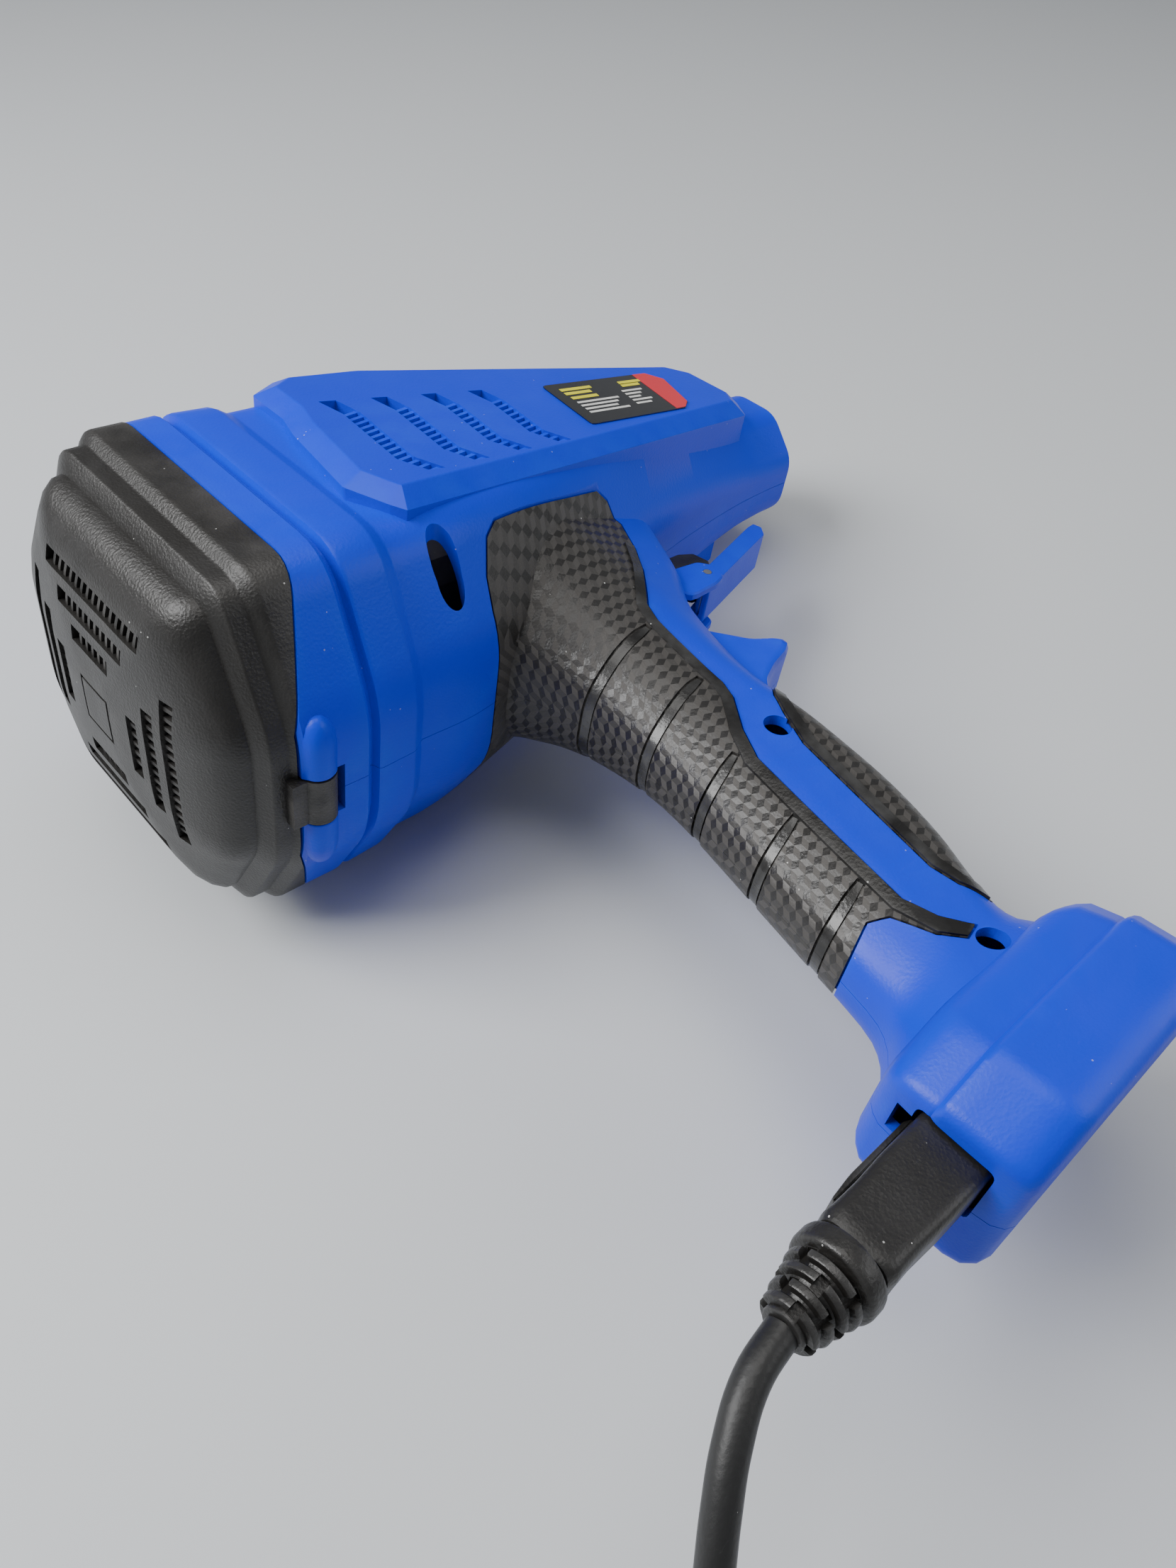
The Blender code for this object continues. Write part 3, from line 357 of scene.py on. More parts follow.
def between(table, spacing, keep):
    """More sections along a table: smooth where the entries are far apart, straight where they are close."""
    out = []
    for i in range(len(table) - 1):
        a, b, c, d = table[max(i - 1, 0)], table[i], table[i + 1], table[min(i + 2, len(table) - 1)]
        parts = max(1, round(abs(c[0] - b[0]) / spacing))
        for k in range(parts):
            t = k / parts
            if abs(c[0] - b[0]) < keep:
                out.append(tuple(p + (q - p) * t for p, q in zip(b, c)))
                continue
            left = (c[0] - b[0]) / (c[0] - a[0]) if i else 1.0
            right = (c[0] - b[0]) / (d[0] - b[0]) if d is not c else 1.0
            row = []
            for w, x, y, z in zip(a, b, c, d):
                m0 = (y - w) * left if i and abs(b[0] - a[0]) >= keep else y - x
                m1 = (z - x) * right if d is not c and abs(d[0] - c[0]) >= keep else y - x
                row.append((2 * t ** 3 - 3 * t * t + 1) * x + (t ** 3 - 2 * t * t + t) * m0
                           + (3 * t * t - 2 * t ** 3) * y + (t ** 3 - t * t) * m1)
            row[0] = b[0] + (c[0] - b[0]) * t
            out.append(tuple(row))
    out.append(table[-1])
    return out


def body_rings(grow=0.0):
    return [[(x, y, z) for y, z in octagon(*section, grow)] for x, *section in between(BODY, *BODY_SPACING)]


def bar_rings(table, grow=0.0, share=GRIP_ROUND):
    """Sections of the grip or foot; the front may have its own flats."""
    rings = []
    for y, rear, front, half, flat, *ahead in between(table, *BAR_SPACING):
        front_flat, front_end = ahead or (flat, flat)
        middle, depth = (rear + front) / 2, (front - rear) / 2 + grow
        half += grow
        near = [(middle - depth, -half * flat), (middle - depth * flat, -half),
                (middle + depth * front_flat, -half), (middle + depth, -half * front_end)]
        rings.append([(x, y, z) for x, z in soften(near + [(x, -z) for x, z in reversed(near)], share, 6)])
    return rings


def panel_z(x):
    return PANEL_Z0 - PANEL_SLOPE * (x - PANEL_X0)


def widen(outline, step):
    """Outline moved out by a step, or in by a negative one."""
    area = sum(a[0] * b[1] - b[0] * a[1] for a, b in zip(outline, outline[1:] + outline[:1]))
    sign = 1 if area > 0 else -1
    out = []
    for i, corner in enumerate(outline):
        before, here, after = Vector(outline[i - 1]), Vector(corner), Vector(outline[(i + 1) % len(outline)])
        first, second = (here - before).normalized(), (after - here).normalized()
        n1, n2 = Vector((first.y, -first.x)) * sign, Vector((second.y, -second.x)) * sign
        out.append(tuple(here + (n1 + n2) * step / (1 + n1.dot(n2))))
    return out


# ---- parts of the housing ----
def raised_panel(side):
    """Raised side panel: flat top, broad chamfer all round, short wall."""
    foot_line = soften(widen(PANEL, 0.6), 0.12, 2)
    top_line = soften(widen(PANEL, -PANEL_CHAMFER), 0.12, 2)
    ease_line = soften(widen(PANEL, -PANEL_CHAMFER - 0.9), 0.12, 2)
    levels = [(foot_line, 18.0), (foot_line, 4.6), (foot_line, 4.0), (top_line, 0.25), (ease_line, 0.0)]
    return loft("panel", [[(x, y, side * (panel_z(x) - drop)) for x, y in line] for line, drop in levels])


def rear_wedge(gap):
    """Space behind the rim, which leans forward on both flanks."""
    rim = [(18.0, -90), (12.3, -60.0), (6.6, -42.0), (1.6, -27.0), (0.4, -22.0), (0.3, -14.0)]
    rim += [(x, -z) for x, z in reversed(rim)]
    outline = [(-80, -90)] + [(x - gap, z) for x, z in rim] + [(-80, 90)]
    return prism("wedge", outline, "y", -100, 100)


# ---- shader effects, each built once ----
def effect(name, inputs, outputs, build):
    """Node group with a Vector input, more inputs with defaults, and number outputs, filled by one function."""
    tree = bpy.data.node_groups.new(name, "ShaderNodeTree")
    tree.interface.new_socket(name="Vector", in_out="INPUT", socket_type="NodeSocketVector")
    for title, default in inputs.items():
        kind = "NodeSocketVector" if isinstance(default, tuple) else "NodeSocketFloat"
        tree.interface.new_socket(name=title, in_out="INPUT", socket_type=kind).default_value = default
    for title in outputs:
        tree.interface.new_socket(name=title, in_out="OUTPUT", socket_type="NodeSocketFloat")
    build(tree, tree.nodes.new("NodeGroupInput").outputs, tree.nodes.new("NodeGroupOutput").inputs)


def feed(tree, socket, value):
    """Link a socket to another one, or set a plain value on it."""
    if isinstance(value, bpy.types.NodeSocket):
        tree.links.new(value, socket)
    else:
        socket.default_value = value


def add(tree, kind, **values):
    """New shader node; keywords are its input sockets, with _ for a space."""
    node = tree.nodes.new("ShaderNode" + kind)
    for key, value in values.items():
        feed(tree, node.inputs[key.replace("_", " ")], value)
    return node


def math_of(tree, operation, *values, kind="Math", out=0):
    node = tree.nodes.new("ShaderNode" + kind)
    node.operation = operation
    for socket, value in zip(node.inputs, values):
        feed(tree, socket, value)
    return node.outputs[out]


def vector_of(tree, operation, *values, out=0):
    return math_of(tree, operation, *values, kind="VectorMath", out=out)


def plus(tree, a, b):
    return math_of(tree, "ADD", a, b)


def times(tree, a, b):
    return math_of(tree, "MULTIPLY", a, b)


def tint(tree, factor, a, b, blend="MIX"):
    """Mix of two colours."""
    node = tree.nodes.new("ShaderNodeMix")
    node.data_type = "RGBA"
    node.blend_type = blend
    feed(tree, node.inputs[0], factor)
    feed(tree, node.inputs[6], a)
    feed(tree, node.inputs[7], b)
    return node.outputs[2]


def ramp(tree, value, low, high):
    """Value stretched from low..high to 0..1."""
    return add(tree, "MapRange", Value=value, From_Min=low, From_Max=high, To_Min=0.0, To_Max=1.0).outputs[0]


def grain_effect(tree, given, result):
    """Spark-etched mould texture: fine pebbles over a slow waviness."""
    fine = add(tree, "TexNoise", Vector=given["Vector"], Scale=given["Scale"], Detail=3.0, Roughness=0.62)
    pebble = add(tree, "TexVoronoi", Vector=given["Vector"], Scale=times(tree, given["Scale"], 0.8))
    slow = add(tree, "TexNoise", Vector=given["Vector"], Scale=34.0, Detail=2.0)
    both = plus(tree, fine.outputs[0], times(tree, pebble.outputs["Distance"], 0.7))
    feed(tree, result["Height"], both)
    feed(tree, result["Tone"], slow.outputs[0])


def marks_effect(tree, given, result):
    """Dust specks, faint smears and short hairline scratches from handling."""
    speck = add(tree, "TexVoronoi", Vector=given["Vector"], Scale=260.0, Randomness=1.0)
    chosen = add(tree, "TexNoise", Vector=given["Vector"], Scale=120.0, Detail=1.0)
    dots = math_of(tree, "LESS_THAN", speck.outputs["Distance"], 0.065)
    dots = times(tree, dots, math_of(tree, "GREATER_THAN", chosen.outputs[0], 0.60))
    feed(tree, result["Dust"], times(tree, dots, given["Amount"]))
    smear = add(tree, "TexNoise", Vector=given["Vector"], Scale=22.0, Detail=5.0, Roughness=0.6, Distortion=1.2)
    stretched = vector_of(tree, "MULTIPLY", given["Vector"], (1.0, 9.0, 3.0))
    hair = add(tree, "TexNoise", Vector=stretched, Scale=150.0, Detail=1.0, Distortion=2.0)
    line = ramp(tree, hair.outputs[0], 0.70, 0.74)
    haze = ramp(tree, smear.outputs[0], 0.42, 0.72)
    feed(tree, result["Smear"], times(tree, math_of(tree, "MAXIMUM", haze, line), given["Amount"]))


def wear_effect(tree, given, result):
    """Edges that rub against things, broken up so that the wear is uneven."""
    ridge = ramp(tree, add(tree, "NewGeometry").outputs["Pointiness"], 0.515, 0.60)
    patchy = add(tree, "TexNoise", Vector=given["Vector"], Scale=90.0, Detail=4.0)
    broken = ramp(tree, patchy.outputs[0], 0.38, 0.62)
    feed(tree, result["Mask"], times(tree, times(tree, ridge, broken), given["Amount"]))


def blocks_effect(tree, given, result):
    """Tumbling blocks: hexagons cut in three rhombs, each with its own painted shade (Tone) and its own slope."""
    cell, half, flat = (1.0, math.sqrt(3.0), 1.0), (0.5, math.sqrt(3.0) / 2, 0.5), (1.0, 1.0, 0.0)
    third = 2 * math.pi / 3
    place = vector_of(tree, "DIVIDE", given["Vector"], given["Cell"])
    place = vector_of(tree, "MULTIPLY", place, flat)

    def local(shift):
        moved = vector_of(tree, "ADD", vector_of(tree, "SUBTRACT", place, shift), (60.0, 40 * math.sqrt(3.0), 0.0))
        centred = vector_of(tree, "SUBTRACT", vector_of(tree, "MODULO", moved, cell), half)
        return vector_of(tree, "MULTIPLY", centred, flat)

    first, second = local((0.0, 0.0, 0.0)), local(half)
    nearer = math_of(tree, "LESS_THAN", *(vector_of(tree, "LENGTH", way, out=1) for way in (first, second)))
    pick = tree.nodes.new("ShaderNodeMix")
    pick.data_type = "VECTOR"
    feed(tree, pick.inputs[0], nearer)
    feed(tree, pick.inputs[4], second)
    feed(tree, pick.inputs[5], first)
    parts = add(tree, "SeparateXYZ", Vector=pick.outputs[1])
    angle = math_of(tree, "ARCTAN2", parts.outputs[1], parts.outputs[0])
    angle = math_of(tree, "FLOORED_MODULO", math_of(tree, "SUBTRACT", angle, math.radians(30)), 2 * math.pi)
    sector = math_of(tree, "FLOOR", math_of(tree, "DIVIDE", angle, third))
    # Tone: painted facet shade, one step of lightness for each rhomb, as if the three facets faced the light
    # differently
    feed(tree, result["Tone"], times(tree, sector, 0.5))
    middle = plus(tree, times(tree, sector, third), math.radians(90))
    fall = plus(tree, times(tree, parts.outputs[0], math_of(tree, "COSINE", middle)),
                  times(tree, parts.outputs[1], math_of(tree, "SINE", middle)))
    feed(tree, result["Height"], times(tree, fall, -1.0))


def make_effects():
    effect("Moulded Grain", {"Scale": 900.0}, ("Height", "Tone"), grain_effect)
    effect("Handling Marks", {"Amount": 0.5}, ("Dust", "Smear"), marks_effect)
    effect("Edge Wear", {"Amount": 0.5}, ("Mask",), wear_effect)
    # Tumbling Blocks gives painted facet shade as Tone and a facet slope as Height
    effect("Tumbling Blocks", {"Cell": (0.004, 0.004, 0.004)}, ("Tone", "Height"), blocks_effect)


def place_effect(tree, name, **values):
    """One use of a shader effect, with its own values."""
    node = tree.nodes.new("ShaderNodeGroup")
    node.node_tree = bpy.data.node_groups[name]
    for key, value in values.items():
        feed(tree, node.inputs[key], value)
    return node.outputs


# ---- finishes ----
FINISHES = {}
SMEAR_COLOUR = (0.6, 0.62, 0.66, 1.0)
DUST_COLOUR = (0.7, 0.7, 0.68, 1.0)
# painted shade inside the holes of the open foam
FOAM_HOLE_SHADE = (0.008, 0.008, 0.009, 1.0)
RELIEF_DEPTH = 0.0004
GRIP_SIDE = 0.018


def shade(colour, share):
    """Colour made darker or lighter by a share."""
    return (colour[0] * share, colour[1] * share, colour[2] * share, 1.0)


def finish(name, colour, rough, metal=0.0, grain=900.0, relief=0.12, wear=0.3, worn=None, marks=0.4, coat=0.0,
           pattern=None, spread=0.12, gloss=0.5):
    """One moulded, cast or drawn finish: tone drift, grain, handling marks and worn edges."""
    material = bpy.data.materials.new(name)
    material.use_nodes = True
    tree = material.node_tree
    shader = tree.nodes["Principled BSDF"]
    back = TOOL.inverted()
    where = add(tree, "Mapping", Vector=add(tree, "TexCoord").outputs["Object"],
                Location=back.to_translation(), Rotation=back.to_euler()).outputs[0]
    grained = place_effect(tree, "Moulded Grain", Vector=where, Scale=grain)
    handled = place_effect(tree, "Handling Marks", Vector=where, Amount=marks)
    edges = place_effect(tree, "Edge Wear", Vector=where, Amount=wear)
    base = tint(tree, grained["Tone"], shade(colour, 1.0 - spread), shade(colour, 1.0 + spread))
    height = grained["Height"]
    roughness = plus(tree, times(tree, handled["Smear"], 0.16), rough - 0.03)
    if pattern:
        base, height, roughness = pattern(tree, where, base, height, roughness)
    base = tint(tree, edges["Mask"], base, worn or shade(colour, 1.7))
    base = tint(tree, times(tree, handled["Smear"], 0.02), base, SMEAR_COLOUR)
    base = tint(tree, handled["Dust"], base, DUST_COLOUR)
    bump = add(tree, "Bump", Strength=relief, Distance=RELIEF_DEPTH, Height=height)
    for socket, value in (("Base Color", base), ("Roughness", roughness), ("Metallic", metal), ("Coat Weight", coat),
                          ("Specular IOR Level", gloss), ("Coat Roughness", 0.25), ("Normal", bump.outputs[0])):
        feed(tree, shader.inputs[socket], value)
    FINISHES[name] = material


def grip_pattern(cell):
    """Block relief that runs along the grip and wraps round its rounded rear, with painted shade and sheen on the
    facets of every block.
    """
    def lay(tree, where, base, height, roughness):
        parts = add(tree, "SeparateXYZ", Vector=where)
        inside = math_of(tree, "SUBTRACT", GRIP_SIDE, math_of(tree, "ABSOLUTE", parts.outputs[2]))
        turned_in = math_of(tree, "MAXIMUM", inside, 0.0)
        round_it = math_of(tree, "SUBTRACT", parts.outputs[0], times(tree, turned_in, 0.9))
        lean = plus(tree, round_it, times(tree, parts.outputs[1], -0.16))
        flat = add(tree, "CombineXYZ", X=lean, Y=parts.outputs[1], Z=0.0)
        blocks = place_effect(tree, "Tumbling Blocks", Vector=flat.outputs[0], Cell=(cell, cell, cell))
        # painted shade and sheen: each rhomb of a block is made darker or lighter by its facet tone, as if lit from one
        # side
        tone = plus(tree, times(tree, blocks["Tone"], 1.25), 0.42)
        grey = add(tree, "CombineColor", Red=tone, Green=tone, Blue=tone).outputs[0]
        facet_shaded = tint(tree, 1.0, base, grey, "MULTIPLY")
        deeper = plus(tree, times(tree, height, 0.25), times(tree, blocks["Height"], 2.2))
        sheen = plus(tree, roughness, times(tree, blocks["Tone"], 0.14))
        return facet_shaded, deeper, sheen
    return lay


def foam_pattern(tree, where, base, height, roughness):
    """Open cells of reticulated foam, with painted shade darkening the holes between the cell walls."""
    cells = add(tree, "TexVoronoi", Vector=where, Scale=620.0)
    cells.feature = "DISTANCE_TO_EDGE"
    # painted shade: the middle of every cell fades to the dark hole colour
    hole_shade = ramp(tree, cells.outputs["Distance"], 0.04, 0.16)
    return tint(tree, hole_shade, base, FOAM_HOLE_SHADE), times(tree, hole_shade, -3.0), roughness


def brushed_pattern(tree, where, base, height, roughness):
    """Drawn or turned metal: fine parallel marks."""
    drawn = vector_of(tree, "MULTIPLY", where, (900.0, 60.0, 900.0))
    lines = add(tree, "TexNoise", Vector=drawn, Scale=1.0, Detail=2.0)
    return base, lines.outputs[0], plus(tree, roughness, times(tree, lines.outputs[0], 0.12))


def make_finishes(look):
    shell, cover, rubber, depth = look.shell_colour, look.cover_colour, look.rubber_colour, look.grain_depth
    # moulded plastics and rubbers
    finish("blue_shell", shell, 0.40, grain=1300.0, relief=depth * 0.55, wear=0.35, worn=(0.02, 0.11, 0.85, 1.0),
           marks=0.35, spread=0.06, gloss=0.3)
    finish("black_cover", cover, 0.42, grain=1500.0, relief=depth * 1.5, wear=0.45, worn=(0.09, 0.085, 0.08, 1.0),
           marks=0.6)
    finish("grip_rubber", rubber, 0.33, grain=1500.0, relief=0.55, wear=0.2, marks=0.7,
           pattern=grip_pattern(look.block_size))
    finish("smooth_rubber", shade(rubber, 0.28), 0.24, grain=1100.0, relief=depth * 0.5, wear=0.5,
           worn=(0.12, 0.12, 0.118, 1.0), marks=0.5)
    finish("black_moulding", shade(cover, 0.8), 0.38, grain=1400.0, relief=depth, wear=0.5,
           worn=(0.10, 0.10, 0.10, 1.0), marks=0.6)
    finish("cord_sheath", look.lead_colour, 0.46, relief=depth * 0.7, wear=0.1, marks=0.5)
    # label
    ink = {"grain": 2000.0, "relief": 0.04, "wear": 0.0, "marks": 0.2}
    finish("label_black", (0.006, 0.006, 0.007), 0.30, grain=2000.0, relief=0.04, wear=0.1, marks=0.3, coat=0.5)
    finish("label_yellow", (0.78, 0.72, 0.02), 0.42, **ink)
    finish("label_white", (0.72, 0.72, 0.70), 0.42, **ink)
    finish("label_red", (0.75, 0.012, 0.030), 0.34, coat=0.4, **ink)
    # metals
    finish("bright_steel", (0.55, 0.55, 0.57), 0.30, 1.0, 700.0, 0.10, 0.2, pattern=brushed_pattern)
    finish("dull_steel", (0.34, 0.34, 0.36), 0.48, 1.0, 500.0, 0.12, 0.3, pattern=brushed_pattern)
    finish("cast_alloy", (0.60, 0.60, 0.62), 0.42, 1.0, 800.0, 0.15, 0.3)
    finish("copper_winding", (0.55, 0.20, 0.08), 0.38, 1.0, 400.0, 0.4, 0.1, pattern=brushed_pattern)
    finish("pin_brass", (0.72, 0.52, 0.20), 0.26, 1.0, 700.0, 0.06, 0.2, pattern=brushed_pattern)
    # foam, nylon, wire skins, film and carbon
    finish("open_foam", (0.045, 0.045, 0.05), 0.95, grain=500.0, relief=0.8, wear=0.0, marks=0.2, pattern=foam_pattern)
    finish("tie_nylon", (0.66, 0.66, 0.62), 0.42, relief=0.1, wear=0.1)
    finish("wire_brown", (0.10, 0.035, 0.015), 0.42, relief=0.08)
    finish("wire_blue", (0.02, 0.05, 0.30), 0.42, relief=0.08)
    finish("wire_red", (0.38, 0.02, 0.015), 0.42, relief=0.08)
    finish("film_yellow", (0.62, 0.44, 0.04), 0.38, relief=0.06)
    finish("carbon_block", (0.012, 0.012, 0.013), 0.62, grain=700.0, relief=0.2)


# ---- blue housing and rubber grip ----
def soft_slab(name, outline, low, high, ease):
    """Slab between two levels with rolled edges on both faces."""
    rings = [(low, ease), (low + ease * 0.3, ease * 0.3), (low + ease, 0.0)]
    rings += [(high + low - level, inset) for level, inset in reversed(rings)]
    return loft(name, [[(x, y, level) for x, y in widen(outline, -inset)] for level, inset in rings])


def outside():
    shape = loft("outside", body_rings())
    joined = [loft("grip", bar_rings(GRIP)), loft("foot", bar_rings(FOOT, share=FOOT_ROUND)),
              soft_slab("hook", soften(HOOK, 0.5, 3), -12.5, 12.5, 2.6)]
    combine(shape, joined + [raised_panel(side) for side in SIDES], "UNION")
    return combine(shape, [rear_wedge(0.0)], "DIFFERENCE")


def grip_core(inset):
    """Body, grip and the top of the foot, all smaller by an inset."""
    core = loft("core", [ring for ring in body_rings(-inset) if 40.0 <= ring[0][0] <= 236.0])
    arms = [loft("grip", bar_rings(GRIP, -inset)), loft("foot", bar_rings(FOOT[:4], -inset))]
    return combine(core, arms, "UNION")


def layer(obj, top, root):
    """Keep only what lies between two depths under the grip surface."""
    return combine(combine(obj, [grip_core(top)], "INTERSECT"), [grip_core(root)], "DIFFERENCE")


def through(name, outline):
    return prism(name, outline, "z", -70, 70)


def hollow_tools():
    """Space for the motor, the air path, the switch, the wiring and the plug-in lead."""
    rings = [ring for ring in body_rings(-WALL) if ring[0][0] <= 211.0]
    mouth_line = soften(rectangle(INLET_Y, INLET_Z, 10.2, 9.2), 0.25, 4)
    return [loft("room", [[(-10.0, p[1], p[2]) for p in rings[0]]] + rings),
            loft("shaft", bar_rings(GRIP[:-1] + [GRIP_END_INSIDE], -WALL)),
            loft("well", bar_rings([row for row in FOOT if -248 < row[0] < -219], -3.0)),
            rod("neck", (200, NOSE_Y, 0), (1, 0, 0), 80, 20.4, 48),
            prism("mouth", mouth_line, "x", 40, 60),
            box("tab", (40, INLET_Y + 9, INLET_Z - 4), (56, INLET_Y + 14.2, INLET_Z + 5)),
            box("button", (148, -47.7, -6.2), (185, -34.3, 6.2)),
            box("lever", (161.0, -61.0, -7.8), (185, -49.5, 7.8))]


def vent_line(x):
    """Dog-leg centre line of one side vent."""
    low = -24.5 + 0.13 * (x - VENT_X[0])
    return [(x - 1.0, 22.0), (x + 1.5, 13.0), (x - 1.0, low + 8.0), (x + 4.0, low)]


def vent_slot(x, side):
    line = vent_line(x)
    outline = [(px - VENT_HALF, py) for px, py in line] + [(px + VENT_HALF, py) for px, py in reversed(line)]
    return prism("vent", outline, "z", *sorted((side * 38.0, side * 75.0)))


def vent_bars(side):
    """Little cross bars a little below the face of every side vent."""
    half, lean = (VENT_HALF + 0.6, 0.62, 2.3), Matrix.Rotation(0.12, 3, "Z")
    blocks = []
    for x in VENT_X:
        line = vent_line(x)
        for (ax, ay), (bx, by) in zip(line, line[1:]):
            count = max(2, round((ay - by) / VENT_PITCH))
            for k in range(count):
                t = (k + 0.5) / count
                px, py = ax + (bx - ax) * t, ay + (by - ay) * t
                if py < VENT_BAR_TOP:
                    blocks.append(((px, py, side * (panel_z(px) - VENT_BAR_DEPTH)), half, lean))
    return boxes("vent_bars", blocks)


def groove_outline(tip, rear, trim=0.0):
    """Narrow tapered band from its tip near the border to well behind the grip."""
    a, b = Vector(tip), Vector(rear)
    along = (b - a).normalized()
    side = Vector((-along.y, along.x))
    shoulder, far = a + along * 5, b + along * 14.0
    corners = [a - side * 1.3, a + side * 1.3, shoulder + side * 1.9, far + side * 2.3,
               far - side * 2.3, shoulder - side * 1.9]
    return widen([tuple(corner) for corner in corners], -trim)


def half_of(obj, side, near=SPLIT / 2):
    low, high = sorted((near * side, 95.0 * side))
    return combine(obj, [box("half", (-60, -300, low), (320, 120, high))], "INTERSECT")


def ear(side):
    """Ear beside the lever that carries one end of its pin."""
    low, high = sorted((side * EAR_Z[0], side * EAR_Z[1]))
    levels = [(low, 0.6), (low + 0.6, 0.0), (high - 0.6, 0.0), (high, 0.6)]
    outline = soften(EAR, 0.6, 3)
    return loft("ear", [[(x, y, level) for x, y in widen(outline, -inset)] for level, inset in levels])


def housing_holes():
    """Screw holes, the oval mouth of the rear one, pin holes and the cover's knuckle space."""
    holes = []
    for x, y, sink in SCREWS:
        profile = [(0, 0), (0, 1.8), (17, 1.8), (17, sink), (100, sink * 1.06), (100, 0)]
        holes.append(turned("hole", (x, y, -12.0), (0, 0, 1), profile, 28))
    x, y, sink = SCREWS[0]
    middle = Vector((x, y + 3.0, 0)) * MM
    oval = rod("oval", (x, y + 3.0, 22.0), (0, 0, 1), 60, sink, 40)
    stretch = Matrix.Diagonal((1.12, 1.55, 1.0, 1.0))
    oval.data.transform(Matrix.Translation(middle) @ stretch @ Matrix.Translation(-middle))
    return holes + [oval, rod("pin", (*HINGE, -40), (0, 0, 1), 64.3, 1.62, 20),
                    rod("pin", (*LEVER_PIVOT, -14), (0, 0, 1), 28, 1.6, 20),
                    box("knuckle", (-2, -70, -8.2), (13, -54, 8.2))]


def build_shell():
    """Whole housing before it is split, and the rubber pads cut from its surface."""
    whole = outside()
    pads = {}
    for place, outline in RUBBER:
        pad = combine(copy_of(whole, "pad"), [through("keep", outline)], "INTERSECT")
        pads[place] = combine(pad, [grip_core(RUBBER_THICK)], "DIFFERENCE")
    for place, outline in RUBBER:
        recess = prism("recess", widen(outline, SEAM), "z", -80, 80)
        combine(whole, [combine(recess, [grip_core(RECESS_DEPTH)], "DIFFERENCE")], "DIFFERENCE")
    combine(whole, hollow_tools(), "DIFFERENCE")
    barrel = [(0, 0), (0, 4.9), (0.5, 5.2), (9.5, 5.2), (13.0, 4.7), (16.0, 3.4), (17.6, 1.8), (18.0, 0.6), (18.0, 0)]
    barrels = [turned("barrel", (*HINGE, side * 8.2), (0, 0, side), barrel, 32) for side in SIDES]
    combine(whole, barrels + [ear(side) for side in SIDES], "UNION")
    for side in SIDES:
        combine(whole, [vent_slot(x, side) for x in VENT_X], "DIFFERENCE")
    combine(whole, housing_holes(), "DIFFERENCE")
    return whole, pads


def finish_shell(whole):
    for label, side in HALVES:
        half = half_of(copy_of(whole, "shell_" + label), side)
        dress(half, "blue_shell", hides=["housing_" + label])
        bars = vent_bars(side)
        bars.name = "vent_bars_" + label
        dress(bars, "blue_shell")
    bpy.data.objects.remove(whole, do_unlink=True)


def finish_grip(pads):
    bands = {}
    for place, outline in RUBBER:
        outer, inner = widen(outline, -0.15), widen(outline, -BORDER)
        (first, last), (inner_first, inner_last) = BORDER_SPAN[place]
        strip = through("band", outer[first:last] + inner[inner_first:inner_last][::-1])
        bands[place] = layer(strip, -BORDER_PROUD, BORDER_ROOT)
    channels = [through("channel", groove_outline(tip, rear)) for tip, rear in GROOVES]
    ribs = [through("rib", groove_outline(tip, rear, RIB_GAP)) for tip, rear in GROOVES]
    cut, inlay = combine(channels[0], channels[1:], "UNION"), combine(ribs[0], ribs[1:], "UNION")
    combine(pads["back"], [combine(cut, [grip_core(GROOVE_DEPTH)], "DIFFERENCE")], "DIFFERENCE")
    combine(inlay, [through("field", widen(RUBBER_BACK, -0.3))], "INTERSECT")
    layer(inlay, RIB_TOP, RIB_ROOT)
    for label, side in HALVES:
        for place, pad in pads.items():
            piece = half_of(copy_of(pad, f"grip_{place}_pad_{label}"), side, PAD_SPLIT)
            dress(piece, "grip_rubber", hides=[f"grip_{place}_{label}"])
            rim = half_of(copy_of(bands[place], f"grip_{place}_border_{label}"), side, PAD_SPLIT)
            dress(rim, "smooth_rubber")
        grooves = half_of(copy_of(inlay, "grip_grooves_" + label), side, PAD_SPLIT)
        dress(grooves, "smooth_rubber")
    for spare in [inlay] + list(pads.values()) + list(bands.values()):
        bpy.data.objects.remove(spare, do_unlink=True)


# ---- rear filter cover ----
def cover_rings(table, grow=0.0):
    return [[(x, y, z) for y, z in octagon(0.0, tall, tall, wide, side_flat, end_flat, grow, COVER_ROUND)]
            for x, tall, wide, side_flat, end_flat in table]


def grille_place(distance, along, turn):
    """Point of the grille in one of its four quarters."""
    c, s = round(math.cos(turn)), round(math.sin(turn))
    return distance * c - along * s, distance * s + along * c


def grille_slot(distance, reach, turn, half=2.4, low=-40.0, high=-12.0):
    corners = rectangle(distance, 0.0, half, reach)
    return prism("slot", [grille_place(a, b, turn) for a, b in corners], "x", low, high)


